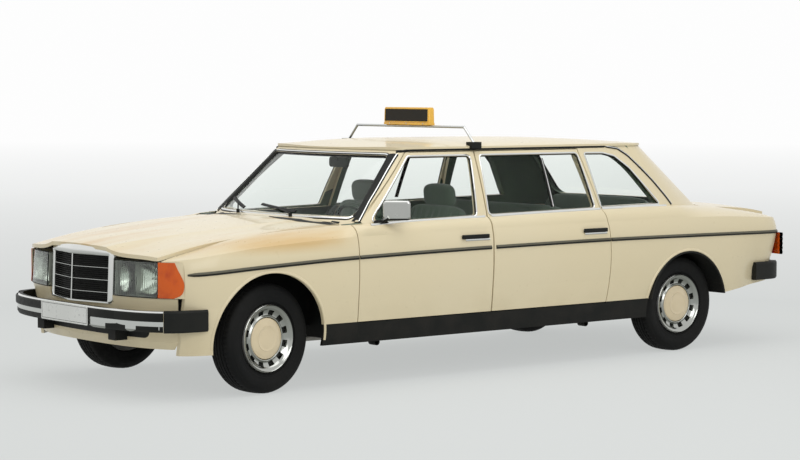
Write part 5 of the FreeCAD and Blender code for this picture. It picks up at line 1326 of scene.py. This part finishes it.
def apron_recess():
    """Black sheet over the air opening below the front bumper, with round ends: painted shade for the opening's
    dark inside.
    """
    rows, columns = 7, 61
    middle, half_height = sum(RECESS_Z) / 2, (RECESS_Z[1] - RECESS_Z[0]) / 2
    places = []
    for rise in spread(-1, 1, rows):
        for t in spread(-1, 1, columns):
            y = RECESS_HALF * math.sin(math.pi / 2 * t)
            over = max(0.0, abs(y) - RECESS_HALF + half_height) / half_height
            height = half_height * math.sqrt(max(1 - over * over, 0.003))
            z = middle + height * rise
            hit = from_front(y, z, ["nose_panel"])
            below = from_front(y, RECESS_Z[0] - 0.004, ["nose_panel"])[0]
            places.append(hit[0] if hit and hit[0].x > below.x - 0.03 else Vector((below.x, y, z)))
    verts = [p + Vector((shift, 0, 0)) for shift in SHEET_SHIFTS for p in places]
    Build().take(verts, shell_faces(rows, columns)).done("apron_recess", RUBBER, "root", "black_rubber")


INDICATOR_Z = (0.5845, 0.7840)
INDICATOR_INNER_Y = 0.7045
INDICATOR_REAR_X = 2.3866
SEAT_REACH = 0.1
INDICATOR_EDGE = (
    (0.585, 2.432), (0.6, 2.405), (0.62, 2.393), (0.66, 2.388), (0.7, 2.399), (0.75, 2.419), (0.795, 2.434),
)
NOSE_START_X, NOSE_LONG, NOSE_POWER = 2.0, 0.5895, 1.3
LAMP_SHIFT, LAMP_T = 0.0035, 0.006
SEAT_SHIFT, SEAT_T = -0.0008, 0.003


def nose_point(angle):
    x, y = NOSE_LONG * math.cos(angle) ** 0.5, BODY_HALF * math.sin(angle) ** (1 / NOSE_POWER)
    return Vector((NOSE_START_X + x, y, 0.0))


def indicator_grid(z_low, z_high, inner_y, rear_x, lift, thick, side, rows=16, columns=26):
    """Closed sheet over the corner's lamp seat; rear_x(z) is its trailing edge."""
    first = math.asin((inner_y / BODY_HALF) ** NOSE_POWER)
    places = []
    for z in spread(z_low, z_high, rows):
        last = math.acos(((rear_x(z) - NOSE_START_X) / NOSE_LONG) ** 2)
        for angle in spread(first, last, columns):
            p, q = nose_point(angle - 0.01), nose_point(angle + 0.01)
            along = (q - p).normalized()
            out = Vector((along.y, -along.x * side, 0))
            middle = (p + q) / 2
            start = Vector((middle.x, middle.y * side, z)) + out * SEAT_REACH
            hit = cast(start, -out, ["indicators", "front_wings"])
            near = hit and abs((hit[0] - start).length - SEAT_REACH) < 0.02
            places.append((hit[0] if near else start - out * (SEAT_REACH + 0.003), out))
    verts = [p + out * shift for shift in (lift, lift - thick) for p, out in places]
    return verts, shell_faces(rows, columns)


def indicators():
    """Amber corner lenses whose rear edge slants, over a body-coloured seat."""
    low, high = INDICATOR_Z
    for side, word in SIDES:
        lens_grid = indicator_grid(
            low, high, INDICATOR_INNER_Y, lambda z: between(INDICATOR_EDGE, z), LAMP_SHIFT, LAMP_T, side
        )
        lamp = Build().take(*lens_grid).done("indicator_lens_" + word, AMBER, "root", "amber_lens")
        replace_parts(lamp, "indicators")
        seat_grid = indicator_grid(
            low - 0.001, high + 0.0005, INDICATOR_INNER_Y - 0.001, lambda z: INDICATOR_REAR_X, SEAT_SHIFT,
            SEAT_T, side,
        )
        seat = Build().take(*seat_grid).done("indicator_seat_" + word, PAINT, "root", "body_paint")
        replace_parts(seat, "indicators")


INTAKE_REAR = (
    (0.149, 1.32), (0.2, 1.262), (0.306, 1.208), (0.395, 1.197), (0.516, 1.175), (0.628, 1.147),
    (0.715, 1.118),
)
INTAKE_FRONT = (
    (0.149, 1.325), (0.2, 1.338), (0.324, 1.352), (0.438, 1.339), (0.533, 1.303), (0.665, 1.284),
    (0.715, 1.235),
)
INTAKE_COLUMNS, INTAKE_ROWS = 40, 5
INTAKE_LIMIT_X, INTAKE_LEAST = 1.40, 0.003


def intake():
    """Black air intake before the screen; the part over the bonnet moves with it."""
    count, rows = INTAKE_COLUMNS, INTAKE_ROWS
    for side, word in SIDES:
        grids = {"scuttle": [], "bonnet": []}
        for y in spread(INTAKE_REAR[0][0], INTAKE_REAR[-1][0], count + 1):
            rear, front = between(INTAKE_REAR, y), between(INTAKE_FRONT, y)
            edge = rear
            while edge < INTAKE_LIMIT_X and not from_above(edge, y * side, ["bonnet"]):
                edge += 0.002
            for name, low, high, nodes in (
                ("scuttle", rear, min(front, edge - 0.005), ["cowl", "glass_house"]),
                ("bonnet", edge + 0.001, front, ["bonnet"]),
            ):
                if high - low < INTAKE_LEAST:
                    continue
                points = [(x, y * side) for x in spread(low, high, rows)]
                column = hits_of(points, lambda x, y: from_above(x, y, nodes))
                if len(column) == rows:
                    grids[name].append(column)
        for name, body in (("scuttle", "root"), ("bonnet", "bonnet")):
            columns = grids[name]
            if len(columns) > 2:
                verts = [p + n * lift for lift in (0.002, -0.001) for column in columns for p, n in column]
                intake_part = Build().take(verts, shell_faces(len(columns), rows))
                intake_part.done("intake_" + name + "_" + word, RUBBER, body, "black_rubber")


bumper_shades()
intake()
apron_recess()
indicators()


# Plates, roof sign, mirror and small fittings


PLATE_HALF, PLATE_T = (0.26, 0.055), 0.0016
HALF_TURN = Matrix.Rotation(math.pi, 4, "Z")


def plate(name, place, body):
    """Blank number plate: white sheet with a raised edge and a black line inside it."""
    sheet = Build().take(*rounded_slab(2 * PLATE_HALF[0], 2 * PLATE_HALF[1], PLATE_T, 0.010), 0, place)
    for grow, index, thick in ((0.0, 0, 0.0014), (-0.0075, 1, 0.0003)):
        profile = ((-0.0014, -0.0006), (-0.0010, thick), (0.0010, thick), (0.0014, -0.0006))
        raised_edge(sheet, *PLATE_HALF, 0.010, grow - 0.003, PLATE_T, profile, index, place)
    for y in (-0.17, 0.17):
        sheet.take(*rod((0.001, y, 0.0), (0.0026, y, 0.0), 0.0045, 12), 2, place)
    return sheet.done(name, [PLATE, SIGN_BLACK, SATIN], body, "sign_plastic")


plate("plate_front", Matrix.Translation((2.6742, 0.0, 0.4600)), "root")
REAR_PLATE_SEAT = from_back(0.0, 0.700, ["boot_lid"])[0] + Vector((-0.0005, 0, 0))
plate("plate_rear", Matrix.Translation(REAR_PLATE_SEAT) @ HALF_TURN, "boot_lid")


SIGN_X = 0.095
SIGN_Y = (-0.236, 0.229)
SIGN_Z = (1.5264, 1.640)
SIGN_HALF_DEPTH = (0.027, 0.021)
SIGN_SCREWS = (-0.17, 0.0, 0.17)
SIGN_FACE_HALF, SIGN_FACE_Z = (0.218, 0.039), 1.5885
SIGN_LEAN = math.atan2(0.003, 0.094)
SIGN_EDGE = ((-0.003, -0.001), (-0.002, 0.0035), (0.002, 0.0035), (0.003, -0.001))


def roof_sign():
    """Thin yellow box on the carrier with a blank black panel let into its front and its back."""
    middle, half = sum(SIGN_Y) / 2, (SIGN_Y[1] - SIGN_Y[0]) / 2
    (low, high), (foot, top) = SIGN_Z, SIGN_HALF_DEPTH
    verts = []
    levels = (
        (low, foot, 0.002), (low + 0.002, foot, 0.0), (low + 0.014, foot - 0.001, 0.0),
        (low + 0.015, foot - 0.0035, 0.001), (high - 0.006, top, 0.005), (high - 0.001, top - 0.002, 0.008),
        (high, top - 0.006, 0.012),
    )
    for z, depth, inset in levels:
        outline = rounded_outline(rectangle(depth, half - inset), 0.008)
        verts += [(SIGN_X + p.x, middle + p.y, z) for p in outline]
    box = Build().take(verts, ring_faces(len(levels), len(outline)))
    for y in SIGN_SCREWS:
        x, z = SIGN_X + 0.024, low + 0.008
        box.take(*rod((x, y, z), (x + 0.0045, y, z), 0.004, 10), 1)
    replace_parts(box.done("sign_box", [SIGN_YELLOW, SATIN], "root", "sign_plastic"), "roof_sign")
    for way, word in ((1, "front"), (-1, "back")):
        place = Matrix.Translation((SIGN_X + way * 0.0215, middle, SIGN_FACE_Z))
        if way < 0:
            place = place @ HALF_TURN
        place = place @ Matrix.Rotation(-SIGN_LEAN, 4, "Y")
        half_y, half_z = SIGN_FACE_HALF
        face = Build().take(*rounded_slab(2 * half_y, 2 * half_z, 0.0022, 0.004), 0, place)
        raised_edge(face, half_y, half_z, 0.005, 0.003, 0.0005, SIGN_EDGE, 1, place)
        face.done("sign_face_" + word, [SIGN_BLACK, SIGN_YELLOW], "root", "sign_plastic")


roof_sign()

MIRROR_CENTRE = Vector((0.912, 0.884, 1.034))
MIRROR_TURN = math.radians(45.0)
MIRROR_BACK = 0.026
MIRROR_EDGE = ((-0.005, -0.004), (-0.005, 0.003), (0.0, 0.004), (0.0045, 0.002), (0.0045, -0.008))


def door_mirror():
    place = Matrix.Translation(MIRROR_CENTRE) @ Matrix.Rotation(MIRROR_TURN + math.pi, 4, "Z")
    seat = place @ Matrix.Translation((MIRROR_BACK, 0, 0))
    pane = Build().take(*rounded_slab(0.148, 0.100, 0.0015, 0.016), 0, seat)
    pane.done("mirror_glass", MIRROR_GLASS, "front_door_left", "window_glass")
    edge = raised_edge(Build(), 0.079, 0.055, 0.018, 0.0, MIRROR_BACK, MIRROR_EDGE, 0, place)
    edge.done("mirror_rim", RUBBER, "front_door_left", "black_rubber")


door_mirror()


HANDLE_Z = 0.853
HANDLE_RUNS = (("front", 0.190, 0.355), ("rear", -0.820, -0.655))


def handle_trims():
    """Bright plate behind each door handle, showing as a line below and beside the grip."""
    for side, word in SIDES:
        for end, x0, x1 in HANDLE_RUNS:
            node = end + "_door_" + word
            y = from_side((x0 + x1) / 2, HANDLE_Z - 0.022, side, [node])[0].y
            low, high = sorted((y + side * 0.0045, y - side * 0.004))
            bar = cuboid((x0 - 0.014, low, HANDLE_Z - 0.026), (x1 + 0.020, high, HANDLE_Z - 0.013), 0.002)
            Build().take(*bar).done("handle_plate_" + end + "_" + word, CHROME, node, "bright_metal")


handle_trims()


# Window divider, screen pillars, scuttle fittings

DIVIDER = ((-0.4555, 1.346), (-0.4395, 0.978))
DIVIDER_PROFILE = (
    (-0.014, -0.002), (-0.014, 0.004), (-0.0035, 0.006), (-0.0025, 0.0085), (0.0025, 0.0085),
    (0.0035, 0.006), (0.014, 0.004), (0.014, -0.002),
)
DIVIDER_PATTERN = [0, 0, 1, 1, 1, 0, 0, 0]


def dividers():
    for side, word in SIDES:
        pane = ["rear_glass_" + word]
        hits = hits_of(resample_flat(DIVIDER, TRIM_STEP), lambda x, z: from_side(x, z, side, pane))
        trim("divider_" + word, smooth_normals(hits), DIVIDER_PROFILE, lambda p: Vector((1, 0, 0)),
             [RUBBER, CHROME], "rear_door_" + word, indices=segment_indices(hits, DIVIDER_PATTERN))


BAND_TOP_Z = 1.366
BAND_COLUMNS = 7


def pillar_bands():
    """Broad black rubber between the windscreen seal and the bright line of the screen posts."""
    (y_low, z_low), (y_high, z_high) = SCREENS["windscreen"][0][1:3]
    for side, word in SIDES:
        rows = []
        for outer in post_line(side):
            z = outer[0].z
            if z > BAND_TOP_Z:
                continue
            edge = y_low + (y_high - y_low) * max(z - z_low, 0.0) / (z_high - z_low) + 0.008
            inner = from_front(side * edge, z, ["glass_house"])
            if inner:
                rows.append([on_house(inner[0].lerp(outer[0], t)) for t in spread(0, 1, BAND_COLUMNS)])
        verts = [p + n * lift for lift in (0.003, -0.002) for row in rows for p, n in row]
        band = Build().take(verts, shell_faces(len(rows), BAND_COLUMNS))
        band.done("pillar_rubber_" + word, RUBBER, "root", "black_rubber")


dividers()
pillar_bands()


# Seats


PAD_STEPS = 34
PULL = 0.02
PLEAT_DEPTH, PLEAT_END = 0.10, 0.93


def pad(name, half, place, replaced, pleats=0, margin=0.72, power=6.0, crown=0.16):
    """Crowned cushion: x is depth, y width, z thickness with its sitting face up; pleats run along x."""
    count = PAD_STEPS
    step = [2 * i / count - 1 for i in range(count + 1)]
    verts, faces, seen = [], [], {}

    def corner(v):
        key = tuple(round(c, 6) for c in v)
        if key not in seen:
            x, y, z = v
            k = (abs(x) ** power + abs(y) ** power + abs(z) ** power) ** (-1 / power)
            u, w, t = x * k, y * k, z * k
            edge = (abs(u) ** 4 + abs(w) ** 4) / 2
            thick = t * (1 - crown * min(edge, 1.0))
            if pleats and t > 0 and abs(w) < margin + 0.02 and abs(u) < PLEAT_END:
                phase = (w / margin + 1) / 2 * pleats
                valley = abs(math.cos(math.pi * phase)) ** 10
                thick -= PLEAT_DEPTH * valley * min(1.0, (PLEAT_END - abs(u)) * 9)
            a = half[0] * u * (1 - PULL * (1 - w * w))
            b = half[1] * w * (1 - PULL * (1 - u * u))
            seen[key] = len(verts)
            verts.append(place @ Vector((a, b, half[2] * thick)))
        return seen[key]

    for axis in range(3):
        for sign in (-1, 1):
            for i in range(count):
                for k in range(count):
                    quad = []
                    for di, dk in ((0, 0), (1, 0), (1, 1), (0, 1)):
                        v = [0.0, 0.0, 0.0]
                        v[axis] = float(sign)
                        v[(axis + 1) % 3] = step[i + di]
                        v[(axis + 2) % 3] = step[k + dk]
                        quad.append(corner(tuple(v)))
                    faces.append(quad)
    obj = Build().take(verts, faces).done(name, FABRIC, "root", "seat_fabric")
    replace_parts(obj, replaced)


def cushion_place(x0, x1, top, thick, tilt=0.05):
    return Matrix.Translation(((x0 + x1) / 2, 0, top - thick / 2)) @ Matrix.Rotation(-tilt, 4, "Y")


def back_place(front_low, front_high, thick):
    """Frame of a back cushion from its front face's two (x, z) points: x runs up, z faces forward."""
    a, b = Vector((front_low[0], 0, front_low[1])), Vector((front_high[0], 0, front_high[1]))
    up = (b - a).normalized()
    out = Vector((up.z, 0, -up.x))
    across = out.cross(up)
    middle = (a + b) / 2 - out * (thick / 2)
    m = Matrix((up, across, out)).transposed().to_4x4()
    return Matrix.Translation(middle) @ m, (b - a).length


def shifted(matrix, y):
    return Matrix.Translation((0, y, 0)) @ matrix


FRONT_SEAT_Y = 0.375
# Name, cushion's rear and front x, top z, half width, back's low and high (x, z), thickness and pleats
BENCHES = (
    ("middle", -0.640, -0.170, 0.600, 0.685, (-0.535, 0.590), (-0.674, 1.012), 0.100, 14),
    ("rear", -1.560, -1.010, 0.628, 0.525, (-1.452, 0.620), (-1.592, 1.032), 0.095, 12),
)


def seats():
    for side, word in SIDES:
        y = side * FRONT_SEAT_Y
        place = shifted(cushion_place(0.242, 0.786, 0.612, 0.160), y)
        pad("cushion_front_" + word, (0.272, 0.258, 0.080), place, "front_seats", 6)
        place, length = back_place((0.338, 0.600), (0.204, 1.035), 0.115)
        pad("back_front_" + word, (length / 2, 0.250, 0.0575), shifted(place, y), "front_seats", 6)
        place = Matrix.Translation((0.152, y, 1.080)) @ Matrix.Rotation(-math.pi / 2 + 0.12, 4, "Y")
        pad("headrest_" + word, (0.080, 0.145, 0.040), place, "front_seats", power=3.2, crown=0.3)
        base = Build().take(*cuboid((0.262, y - 0.225, 0.290), (0.760, y + 0.225, 0.462), 0.02))
        for post in (-0.055, 0.055):
            base.take(*rod((0.170, y + post, 0.960), (0.156, y + post, 1.060), 0.006), 1)
        base = base.done("seat_frame_" + word, [CABIN_DARK, SATIN], "root", "cabin_plastic")
        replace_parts(base, "front_seats")
    for name, x0, x1, top, half_y, low, high, thick, pleats in BENCHES:
        place = cushion_place(x0, x1, top, 0.150, 0.04)
        pad("cushion_" + name, ((x1 - x0) / 2 - 0.004, half_y, 0.075), place, "bench_seats", pleats, 0.9)
        place, length = back_place(low, high, thick)
        pad("back_" + name, (length / 2, half_y, thick / 2), place, "bench_seats", pleats, 0.9)
    base = Build()
    base.take(*cuboid((-0.632, -0.670, 0.290), (-0.215, 0.670, 0.460), 0.015))
    base.take(*cuboid((-1.175, -0.685, 0.290), (-1.020, 0.685, 0.500), 0.015))
    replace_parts(base.done("bench_bases", [CABIN], "root", "cabin_plastic"), "bench_seats")


seats()


# Cabin details


CABIN_MIRROR = (0.655, -0.030, 1.292)
CABIN_MIRROR_TURN = 0.05
CARD_RUNS = (("front", 0.26, 0.78), ("rear", -0.70, -0.16))


def cabin():
    """Inner mirror, and armrest, pocket and winder of each door."""
    turn = Matrix.Translation(CABIN_MIRROR) @ Matrix.Rotation(math.pi - CABIN_MIRROR_TURN, 4, "Z")
    mirror = Build().take(*rounded_slab(0.200, 0.064, 0.018, 0.020), 0, turn)
    mirror.take(*rounded_slab(0.188, 0.052, 0.0012, 0.016), 1, turn @ Matrix.Translation((0.0178, 0, 0)))
    mirror.take(*rod((0.660, -0.030, 1.305), (0.700, -0.030, 1.352), 0.007), 0)
    mirror.done("cabin_mirror", [CABIN_DARK, MIRROR_GLASS], "root", "cabin_plastic")
    for side, word in SIDES:
        for end, x0, x1 in CARD_RUNS:
            body = end + "_door_" + word
            card = Build()
            y = cast(((x0 + x1) / 2, 0.0, 0.70), (0, side, 0), [body])[0].y - side * 0.001
            ys = sorted((y, y - side * 0.048))
            card.take(*cuboid((x0, ys[0], 0.672), (x1, ys[1], 0.722), 0.016))
            ys = sorted((y, y - side * 0.030))
            card.take(*cuboid((x0 - 0.10, ys[0], 0.420), (x0 + 0.26, ys[1], 0.560), 0.012), 1)
            knob = (x1 - 0.09, y - side * 0.020, 0.80)
            card.take(*rod((knob[0], y, knob[2]), knob, 0.020, 20, 0.014), 1)
            tip = (knob[0] + 0.085, knob[1] - side * 0.004, knob[2] - 0.02)
            card.take(*rod(knob, tip, 0.008, 12, 0.007), 2)
            card.done("door_card_" + end + "_" + word, [CABIN, CABIN_DARK, SATIN], body, "cabin_plastic")


cabin()


# Stage, light and camera


FLOOR_NEAR, FLOOR_FAR = (0.695, 0.715, 0.705), (0.985, 0.985, 0.985)
FLOOR_GLOW = 0.72
FLOOR_HALF = 400.0


def stage():
    f = Finish("studio_floor", FLOOR_NEAR, 0.9, Specular_IOR_Level=0.1)
    distance = f.add("ShaderNodeVectorMath", Vector=f.point)
    distance.operation = "LENGTH"
    far = f.math("POWER", f.remap(distance.outputs["Value"], 5.0, 60.0), 0.62)
    f.tint(far, FLOOR_FAR)
    f.bump(f.noise(30.0, 2.0), 0.02, 0.001)
    shade = f.bsdf.inputs["Base Color"].links[0].from_socket
    glow = f.add("ShaderNodeEmission", Color=shade, Strength=1.0)
    seen = seen_rays(f.tree)
    share = f.math("MULTIPLY", seen, f.remap(distance.outputs["Value"], 4.0, 25.0, FLOOR_GLOW, 1.0))
    mix = f.add("ShaderNodeMixShader", Fac=share)
    f.tree.links.new(f.bsdf.outputs[0], mix.inputs[1])
    f.tree.links.new(glow.outputs[0], mix.inputs[2])
    f.tree.links.new(mix.outputs[0], f.tree.nodes["Material Output"].inputs["Surface"])
    mesh = bpy.data.meshes.new("studio_floor")
    corners = [(-FLOOR_HALF, -FLOOR_HALF, 0), (FLOOR_HALF, -FLOOR_HALF, 0)]
    corners += [(FLOOR_HALF, FLOOR_HALF, 0), (-FLOOR_HALF, FLOOR_HALF, 0)]
    mesh.from_pydata(corners, [], [(0, 1, 2, 3)])
    mesh.materials.append(f.mat)
    floor = bpy.data.objects.new("studio_floor", mesh)
    bpy.context.scene.collection.objects.link(floor)
    world = bpy.data.worlds.new("studio")
    bpy.context.scene.world = world
    world.use_nodes = True
    nodes, links = world.node_tree.nodes, world.node_tree.links
    light = nodes["Background"]
    light.inputs["Color"].default_value = (1.0, 1.0, 1.0, 1)
    light.inputs["Strength"].default_value = WORLD_LEVEL
    seen = nodes.new("ShaderNodeBackground")
    seen.inputs["Color"].default_value = (*FLOOR_FAR, 1)
    mix = nodes.new("ShaderNodeMixShader")
    links.new(seen_rays(world.node_tree), mix.inputs[0])
    links.new(light.outputs[0], mix.inputs[1])
    links.new(seen.outputs[0], mix.inputs[2])
    links.new(mix.outputs[0], nodes["World Output"].inputs[0])


def seen_rays(tree):
    """1 for rays from the camera, through glass and off metal."""
    path = tree.nodes.new("ShaderNodeLightPath")
    total = path.outputs["Is Camera Ray"]
    for kind in ("Is Glossy Ray", "Is Transmission Ray"):
        either = tree.nodes.new("ShaderNodeMath")
        either.operation = "MAXIMUM"
        tree.links.new(total, either.inputs[0])
        tree.links.new(path.outputs[kind], either.inputs[1])
        total = either.outputs[0]
    return total


def area(name, place, target, size, power):
    data = bpy.data.lights.new(name, "AREA")
    data.shape = "RECTANGLE"
    data.size, data.size_y = size
    data.energy = power
    lamp = bpy.data.objects.new(name, data)
    lamp.location = place
    lamp.rotation_euler = (Vector(target) - Vector(place)).to_track_quat("-Z", "Y").to_euler()
    bpy.context.scene.collection.objects.link(lamp)


def camera():
    yaw, pitch = CAMERA_YAW, CAMERA_PITCH
    forward = Vector((math.cos(yaw) * math.cos(pitch), math.sin(yaw) * math.cos(pitch), -math.sin(pitch)))
    right = forward.cross(UP).normalized()
    up = right.cross(forward)
    c, s = math.cos(CAMERA_ROLL), math.sin(CAMERA_ROLL)
    right, up = right * c + up * s, up * c - right * s
    data = bpy.data.cameras.new("photo_camera")
    data.sensor_width = SENSOR
    data.lens = FOCAL_PIXELS * SENSOR / PHOTO_WIDTH
    data.shift_x = (PHOTO_WIDTH / 2 - PHOTO_AXIS[0]) / PHOTO_WIDTH
    data.shift_y = (PHOTO_AXIS[1] - PHOTO_HEIGHT / 2) / PHOTO_WIDTH
    data.clip_end = CAMERA_REACH
    view = bpy.data.objects.new("photo_camera", data)
    columns = Matrix((right, up, -forward)).transposed()
    view.matrix_world = Matrix.Translation(CAMERA_PLACE) @ columns.to_4x4()
    bpy.context.scene.collection.objects.link(view)
    bpy.context.scene.camera = view


stage()
area("top_soft", *TOP_LIGHT, TOP_POWER)
area("side_soft", *SIDE_LIGHT, SIDE_POWER)
camera()
bpy.context.scene.view_settings.view_transform = "Standard"
